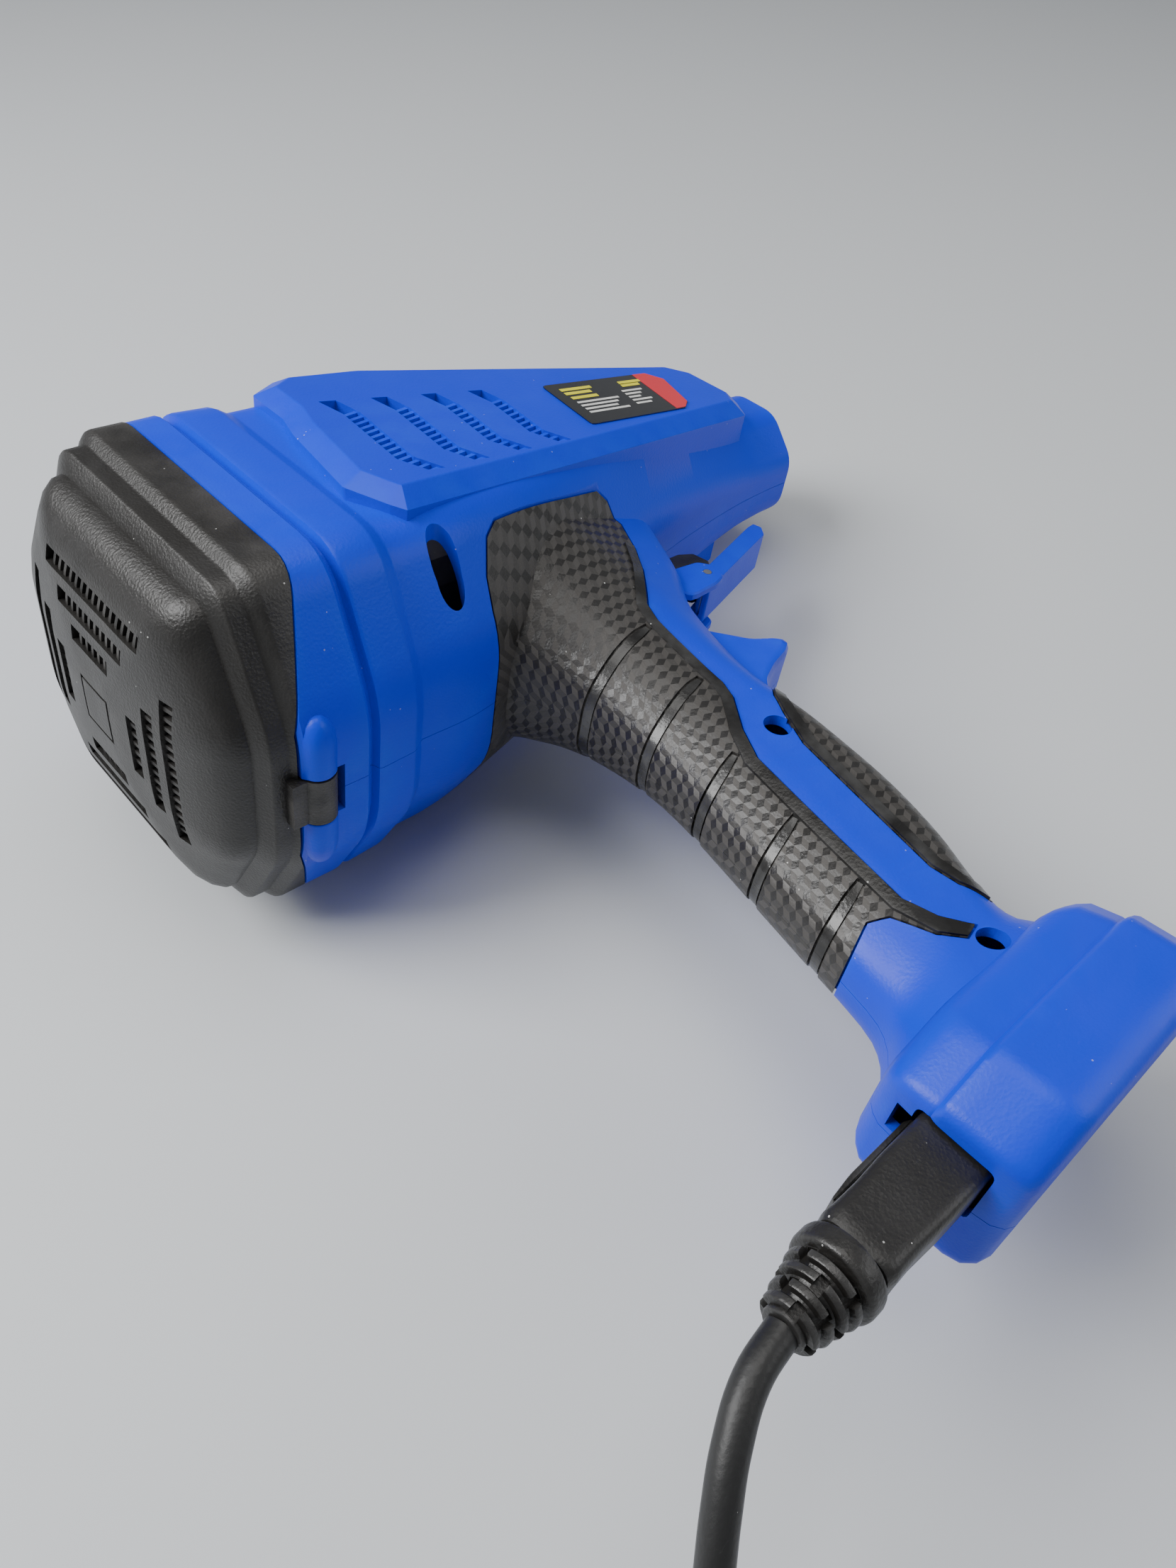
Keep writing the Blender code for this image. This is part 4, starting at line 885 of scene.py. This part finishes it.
def build_cover():
    cover = loft("cover_dome", cover_rings(COVER)[::-1])
    combine(cover, [rear_wedge(0.5)], "INTERSECT")
    hollow = [(30.0, 63.6, 59.6, 0.68, 0.37)] + [(x + 2.2, *row) for x, *row in COVER[1:]]
    room = loft("hollow", cover_rings(hollow, -COVER_WALL))
    lower = [(x + 0.9, *row) for x, *row in COVER]
    bars = combine(loft("grille_bars", cover_rings(lower, -0.9)[::-1]), [copy_of(room, "hollow")], "DIFFERENCE")
    combine(cover, [room], "DIFFERENCE")
    quarters = [math.radians(turn) for turn in (0, 90, 180, 270)]
    combine(cover, [grille_slot(*slot, turn) for slot in GRILLE for turn in quarters], "DIFFERENCE")
    combine(cover, [grille_slot(7.2, 7.6, turn, 0.45, -40.0, -24.2) for turn in quarters], "DIFFERENCE")
    blocks = []
    for distance, reach in GRILLE:
        for turn in quarters:
            count = round(2 * reach / 3.1)
            for k in range(1, count):
                y, z = grille_place(distance, -reach + 2 * reach * k / count, turn)
                wide, thin = (2.7, 0.62) if abs(math.cos(turn)) > 0.5 else (0.62, 2.7)
                blocks.append(((-19.0, y, z), (9.0, wide, thin), Matrix.Identity(3)))
    combine(bars, [boxes("cutters", blocks)], "INTERSECT")
    barrel = rod("barrel", (*HINGE, -7.7), (0, 0, 1), 15.4, 5.2, 32)
    arm = box("arm", (-3.0, HINGE[1] - 2.4, -7.7), (HINGE[0], HINGE[1] + 1.2, 7.7))
    combine(cover, [barrel, arm], "UNION")
    combine(cover, [rod("pin", (*HINGE, -20), (0, 0, 1), 40, 1.62, 20)], "DIFFERENCE")
    dress(cover, "black_cover", "cover", hides=["filter_cover"])
    dress(bars, "black_cover", "cover")


# ---- rating label: generic bars only ----
def panel_strip(name, corners, lift, thick):
    """Thin sheet that lies on the sloping face of the right panel."""
    return loft(name, [[(x, y, panel_z(x) + level) for x, y in corners] for level in (lift, lift + thick)])


def label_point(u, v):
    """Label place from 0..1 along and 0..1 up the plate."""
    low = Vector((150.0, -6.5)).lerp(Vector((198.0, -2.2)), u)
    high = Vector((153.5, 18.6)).lerp(Vector((205.5, 22.8)), u)
    return low.lerp(high, v)


def build_label():
    plate, red = soften(PLATE, 0.12, 2), soften(RED_END, 0.1, 2)
    dress(panel_strip("label_plate", plate, 0.1, 0.35), "label_black", hides=["rating_label"])
    dress(panel_strip("label_red_end", red, 0.3, 0.22), "label_red")
    quads = ((0, 1, 2, 3), (4, 5, 6, 7), (0, 1, 5, 4), (1, 2, 6, 5), (2, 3, 7, 6), (3, 0, 4, 7))
    for ink, thick in BAR_THICK.items():
        verts, faces = [], []
        for start, end, levels, row_ink in LABEL_ROWS:
            for number, level in enumerate(levels if row_ink == ink else ()):
                low, high, stop = level - thick / 2, level + thick / 2, end - 0.045 * (number % 3)
                corners = [label_point(u, v) for u, v in ((start, low), (stop, low), (stop, high), (start, high))]
                faces += [tuple(len(verts) + k for k in quad) for quad in quads]
                verts += [(p.x, p.y, panel_z(p.x) + lift) for lift in (0.40, 0.52) for p in corners]
        dress(make(ink + "_bars", verts, faces), ink)


# ---- button and release lever ----
def build_controls():
    outline = soften([(150.2, -46.8), (165.8, -46.8), (168.0, -50.4), (175.0, -50.4), (180.0, -44.5), (178.5, -38.0),
                      (173.0, -35.4), (150.2, -35.4)], 0.25, 3)
    button = soft_slab("button_cap", outline, -5.5, 5.5, 0.9)
    dress(button, "black_moulding", "button", hides=["switch_button"])
    rise = math.radians(LEVER_RISE)
    out, up = Vector((math.cos(rise), math.sin(rise))), Vector((-math.sin(rise), math.cos(rise)))
    pivot = Vector(LEVER_PIVOT)

    def along_lever(*places):
        return [tuple(pivot + out * along + up * above) for along, above in places]

    side = along_lever((-3, -3.4), (44, -3.4), (48, -0.5), (48, 3.0), (44, 3.6), (6, 3.6), (-3, 3.0))
    lever = soft_slab("lever_channel", soften(side, 0.35, 3), -7.4, 7.4, 0.5)
    trough = prism("trough", along_lever((-8, -1.4), (46, -1.4), (46, 9), (-8, 9)), "z", -5.6, 5.6)
    combine(lever, [trough, rod("pin", (*LEVER_PIVOT, -20), (0, 0, 1), 40, 1.55, 20)], "DIFFERENCE")
    dress(lever, "blue_shell", "lever", hides=["release_lever"])


# ---- plug-in connector with its strain relief ----
def soft_section(x, y, z, half_y, half_z, share):
    return [(x, *p) for p in soften(rectangle(y, z, half_y, half_z), share, 6)]


def build_connector():
    y, z = INLET_Y, INLET_Z
    body = loft("connector_body", [soft_section(x, y, z, *size) for x, *size in CONNECTOR])
    combine(body, [rod("hole", (60, y + side * 3.6, z), (1, 0, 0), 20, 1.4, 20) for side in SIDES], "DIFFERENCE")
    dress(body, "black_moulding", hides=["lead_connector"], angle=40.0)
    line = [(22.0, y + 9.75), (51.6, y + 9.75), (52.0, y + 10.6), (50.0, y + 11.6), (30.0, y + 11.5), (23.0, y + 10.7)]
    latch = soft_slab("connector_latch", soften(line, 0.5, 3), -3.5, 3.5, 0.4)
    latch.data.transform(Matrix.Translation((0, 0, 0.5 * MM)))
    dress(latch, "black_moulding", hides=["locking_tab"])
    profile = [(0, 0), (0, 9.2), (0.5, 10.0), (1.5, 10.3), (4.2, 10.3), (5.2, 10.0), (5.6, 9.4), (5.8, 8.2)]
    for k in range(4):
        start, radius = 6.7 + 3.3 * k, 9.1 - 0.8 * k
        profile += [(start + along, radius - drop) for along, drop in
                    ((0.0, 1.7), (0.15, 0.35), (0.5, 0.0), (1.6, 0.05), (2.0, 0.4), (2.15, 1.8))]
    profile += [(19.2, 5.0), (19.8, 4.8), (20.0, 4.4), (20.0, 0)]
    relief = turned("ribbed_relief", (12.7, y, z), (-1, 0, 0), profile, 48)
    notches = []
    for k in range(4):
        for turn in (0.25, 0.75, 1.25, 1.75):
            spin = Matrix.Rotation(math.pi * (turn + (0.25 if k % 2 else 0.0)), 3, "X")
            centre = Vector((12.7 - 7.7 - 3.3 * k, y, z)) + spin @ Vector((0, 9.0 - 0.8 * k, 0))
            notches.append((centre, (1.75, 2.0, 1.2), spin))
    combine(relief, [boxes("notches", notches)], "DIFFERENCE")
    dress(relief, "black_moulding", hides=["strain_relief"], angle=40.0)


# ---- mains lead, tie and plug, in the row frame ----
def smooth_line(route, spacing):
    """Even points along one smooth curve through the route."""
    points = [Vector(p) for p in route]
    points = [points[0] * 2 - points[1]] + points + [points[-1] * 2 - points[-2]]
    fine = []
    for i in range(1, len(points) - 2):
        a, b, c, d = points[i - 1:i + 3]
        for k in range(24):
            t = k / 24
            fine.append(0.5 * (2 * b + (c - a) * t + (2 * a - 5 * b + 4 * c - d) * t * t
                               + (3 * b - a - 3 * c + d) * t ** 3))
    fine.append(points[-2])
    total = sum((q - p).length for p, q in zip(fine, fine[1:]))
    count = max(2, round(total / spacing))
    out, walked, step = [fine[0]], 0.0, total / count
    for p, q in zip(fine, fine[1:]):
        gap = (q - p).length
        while len(out) < count and walked + gap >= step * len(out):
            out.append(p.lerp(q, (step * len(out) - walked) / gap))
        walked += gap
    out.append(fine[-1])
    return out


def ease(t):
    """Smooth step from 0 to 1."""
    t = min(1.0, max(0.0, t))
    return t * t * (3 - 2 * t)


def coil_line():
    """Turns wound from the arriving lead into a neat coil, leaving low on the near side."""
    first, last, lead_in, lead_out = 90.0, 90.0 + 360.0 * len(TURN_SLOTS) + 195.0, 80.0, 120.0
    angle, points = first + COIL_STEP, []
    while angle < last - 5.0:
        turn = (angle - first - lead_in) / 360.0
        index = min(len(TURN_SLOTS) - 1, max(0, math.floor(turn + COIL_DRIFT / 720.0)))
        radius, height = TURN_SLOTS[index]
        if index:
            share = ease((turn - index) * 360.0 / COIL_DRIFT + 0.5)
            before = TURN_SLOTS[index - 1]
            radius, height = before[0] + (radius - before[0]) * share, before[1] + (height - before[1]) * share
        if angle < first + lead_in:
            radius = COIL_IN + (TURN_SLOTS[0][0] - COIL_IN) * ease((angle - first) / lead_in)
        leave = (angle - (last - lead_out)) / lead_out
        if leave > 0:
            radius += (COIL_OUT - radius) * ease(leave * 1.35)
            height += (TURN_SLOTS[0][1] - height) * ease(leave * 1.25 - 0.25)
        spoke = math.radians(angle)
        points.append((COIL_AT[0] + radius * math.cos(spoke), COIL_AT[1] + radius * math.sin(spoke), height))
        angle += COIL_STEP
    return points


def lead_route():
    inlet = ((-7.0, INLET_Y, INLET_Z), (-13.0, INLET_Y - 0.2, INLET_Z))
    start = [tuple((TOOL @ (Vector(p) * MM)) / MM) for p in inlet]
    return smooth_line(start + LEAD_ROUTE, 11) + [Vector(p) for p in coil_line()] + smooth_line(TAIL_ROUTE, 12)


def build_lead():
    curve = bpy.data.curves.new("mains_cord", "CURVE")
    curve.dimensions = "3D"
    curve.bevel_depth = LEAD_R * MM
    curve.bevel_resolution = 6
    curve.resolution_u = 6
    curve.use_fill_caps = True
    line = curve.splines.new("BEZIER")
    route = lead_route()
    line.bezier_points.add(len(route) - 1)
    for knot, point in zip(line.bezier_points, route):
        knot.co = point * MM
        knot.handle_left_type = knot.handle_right_type = "AUTO"
    cord = bpy.data.objects.new("mains_cord", curve)
    bpy.context.scene.collection.objects.link(cord)
    curve.materials.append(FINISHES["cord_sheath"])
    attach(cord, "body")
    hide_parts("mains_lead", "lead_coil", "plug_lead")
    x, y, z = PLUG_AT
    plug = loft("plug_body", [soft_section(x + along, y, z, *size, 0.6) for along, *size in PLUG])
    blade_y = [y + side * 6.35 for side in SIDES]
    combine(plug, [box("hole", (x + 22, b - 0.9, z - 3.3), (x + 40, b + 0.9, z + 3.3)) for b in blade_y], "DIFFERENCE")
    plug.matrix_world = Matrix.Identity(4)
    dress(plug, "black_moulding", hides=["mains_plug"], angle=40.0)


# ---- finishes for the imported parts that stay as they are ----
KEPT = {
    "bright_steel": ["hinge_pin", "lever_pin", "housing_screw_1", "housing_screw_2", "housing_screw_3",
                     "housing_screw_4", "rotor_shaft", "impeller_nut", "bearing_front", "bearing_rear", "switch_stem"],
    "dull_steel": ["motor_can", "field_core", "end_bell_rear"],
    "cast_alloy": ["impeller"],
    "copper_winding": ["armature", "commutator"],
    "pin_brass": ["inlet_pin_live", "inlet_pin_neutral", "plug_blade_live", "plug_blade_neutral"],
    "black_moulding": ["fan_case", "end_bell_front", "outlet_tube", "switch_body", "inlet_socket", "filter_frame"],
    "open_foam": ["filter_foam"],
    "smooth_rubber": ["motor_ring"],
    "wire_brown": ["lead_live"],
    "wire_blue": ["lead_neutral"],
    "wire_red": ["motor_lead_live", "motor_lead_neutral"],
    "film_yellow": ["capacitor"],
    "carbon_block": ["brush_upper", "brush_lower"],
    "tie_nylon": ["cable_tie"],
}


def dress_kept_parts():
    for title, names in KEPT.items():
        for name in names:
            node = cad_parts[name]
            if not node.material_slots:
                node.data.materials.append(FINISHES[title])
            for part in node.material_slots:
                part.material = FINISHES[title]


# ---- floor, light and camera ----
def soft_lamp(name, place, target, size, power, colour):
    lamp = bpy.data.lights.new(name, "AREA")
    lamp.shape = "RECTANGLE"
    lamp.size, lamp.size_y = size
    lamp.energy = power
    lamp.color = colour
    obj = bpy.data.objects.new(name, lamp)
    bpy.context.scene.collection.objects.link(obj)
    obj.location = place
    obj.rotation_euler = (Vector(target) - Vector(place)).to_track_quat("-Z", "Y").to_euler()


def build_floor(colour):
    mesh = bpy.data.meshes.new("studio_floor")
    corners = [(x, y, 0.0) for x, y in rectangle(0.0, 0.0, FLOOR_REACH, FLOOR_REACH)]
    mesh.from_pydata(corners, [], [(0, 1, 2, 3)])
    floor = bpy.data.objects.new("studio_floor", mesh)
    bpy.context.scene.collection.objects.link(floor)
    material = bpy.data.materials.new("pale_floor")
    material.use_nodes = True
    tree = material.node_tree
    shader = tree.nodes["Principled BSDF"]
    cloud = add(tree, "TexNoise", Scale=3.0, Detail=2.0)
    feed(tree, shader.inputs["Base Color"], tint(tree, cloud.outputs[0], shade(colour, 0.97), shade(colour, 1.02)))
    shader.inputs["Roughness"].default_value = 0.6
    mesh.materials.append(material)


def build_camera():
    camera = bpy.data.cameras.new("camera")
    camera.sensor_width = 36.0
    camera.lens = LENS
    camera.clip_start = 0.01
    view = bpy.data.objects.new("camera", camera)
    bpy.context.scene.collection.objects.link(view)
    forward, right = CAMERA_FORWARD.normalized(), CAMERA_RIGHT.normalized()
    rise = right.cross(forward).normalized()
    turn = Matrix((right, rise, -forward)).transposed().to_4x4()
    view.matrix_world = Matrix.Translation(CAMERA_AT) @ turn
    bpy.context.scene.camera = view


def build_stage(look):
    build_floor(look.floor_colour)
    world = bpy.data.worlds.new("studio")
    world.use_nodes = True
    sky = world.node_tree.nodes["Background"]
    sky.inputs["Color"].default_value = SKY_COLOUR
    sky.inputs["Strength"].default_value = SKY_STRENGTH
    bpy.context.scene.world = world
    for name, (place, target, size, power, colour) in LAMPS.items():
        soft_lamp(name, place, target, size, power * look.light, colour)
    build_camera()


# ---- add-on ----
class SprayerLook(bpy.types.PropertyGroup):
    """Sizes and colours of the finished unit."""
    shell_colour: FloatVectorProperty(
        name="Shell colour", description="Royal blue of the moulded housing",
        subtype="COLOR", default=(0.0, 0.036, 0.74), min=0, max=1)
    cover_colour: FloatVectorProperty(
        name="Cover colour", description="Black of the rear filter cover",
        subtype="COLOR", default=(0.016, 0.0148, 0.0135), min=0, max=1)
    rubber_colour: FloatVectorProperty(
        name="Rubber colour", description="Dark grey of the moulded grip",
        subtype="COLOR", default=(0.040, 0.037, 0.034), min=0, max=1)
    lead_colour: FloatVectorProperty(
        name="Lead colour", description="Black of the mains lead",
        subtype="COLOR", default=(0.016, 0.016, 0.016), min=0, max=1)
    floor_colour: FloatVectorProperty(
        name="Floor colour", description="Pale studio floor",
        subtype="COLOR", default=(0.62, 0.64, 0.66), min=0, max=1)
    block_size: FloatProperty(
        name="Block size", description="Width of one block of the grip pattern",
        subtype="DISTANCE", unit="LENGTH", default=0.0044, min=0.001, max=0.02)
    grain_depth: FloatProperty(
        name="Grain depth", description="Strength of the mould grain",
        subtype="FACTOR", default=0.22, min=0.0, max=1.0)
    light: FloatProperty(
        name="Light", description="Strength of the studio lamps",
        subtype="FACTOR", default=1.0, min=0.1, max=4.0)


class SPRAYER_OT_finishes(bpy.types.Operator):
    """Make the shader effects and finishes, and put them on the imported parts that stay"""
    bl_idname = "sprayer.finishes"
    bl_label = "Finishes"

    def execute(self, context):
        make_effects()
        make_finishes(context.scene.sprayer_look)
        dress_kept_parts()
        return {"FINISHED"}


class SPRAYER_OT_shell(bpy.types.Operator):
    """Build the blue housing halves and the rubber grip"""
    bl_idname = "sprayer.shell"
    bl_label = "Housing and grip"

    def execute(self, context):
        whole, pads = build_shell()
        finish_shell(whole)
        finish_grip(pads)
        return {"FINISHED"}


class SPRAYER_OT_cover(bpy.types.Operator):
    """Build the hinged rear filter cover and its grille"""
    bl_idname = "sprayer.cover"
    bl_label = "Filter cover"

    def execute(self, context):
        build_cover()
        return {"FINISHED"}


class SPRAYER_OT_label(bpy.types.Operator):
    """Lay the rating label with generic bars"""
    bl_idname = "sprayer.label"
    bl_label = "Rating label"

    def execute(self, context):
        build_label()
        return {"FINISHED"}


class SPRAYER_OT_controls(bpy.types.Operator):
    """Build the switch button and the release lever"""
    bl_idname = "sprayer.controls"
    bl_label = "Button and lever"

    def execute(self, context):
        build_controls()
        return {"FINISHED"}


class SPRAYER_OT_lead(bpy.types.Operator):
    """Build the connector, its strain relief, the mains lead and the plug"""
    bl_idname = "sprayer.lead"
    bl_label = "Connector and lead"

    def execute(self, context):
        build_connector()
        build_lead()
        return {"FINISHED"}


class SPRAYER_OT_stage(bpy.types.Operator):
    """Lay the floor, the lamps and the camera"""
    bl_idname = "sprayer.stage"
    bl_label = "Studio"

    def execute(self, context):
        build_stage(context.scene.sprayer_look)
        return {"FINISHED"}


OPERATORS = (SPRAYER_OT_stage, SPRAYER_OT_finishes, SPRAYER_OT_lead, SPRAYER_OT_shell,
             SPRAYER_OT_cover, SPRAYER_OT_label, SPRAYER_OT_controls)


class SPRAYER_PT_panel(bpy.types.Panel):
    """Lists the build steps and the look settings"""
    bl_label = "Sprayer"
    bl_idname = "SPRAYER_PT_panel"
    bl_space_type = "VIEW_3D"
    bl_region_type = "UI"
    bl_category = "Sprayer"

    def draw(self, context):
        for name in SprayerLook.__annotations__:
            self.layout.prop(context.scene.sprayer_look, name)
        for operator in OPERATORS:
            self.layout.operator(operator.bl_idname)


def register():
    for kind in (SprayerLook, *OPERATORS, SPRAYER_PT_panel):
        bpy.utils.register_class(kind)
    bpy.types.Scene.sprayer_look = PointerProperty(type=SprayerLook)


def unregister():
    del bpy.types.Scene.sprayer_look
    for kind in (SPRAYER_PT_panel, *reversed(OPERATORS), SprayerLook):
        bpy.utils.unregister_class(kind)


def main():
    register()
    for operator in OPERATORS:
        group, step = operator.bl_idname.split(".")
        getattr(getattr(bpy.ops, group), step)()


if __name__ == "__main__":
    main()
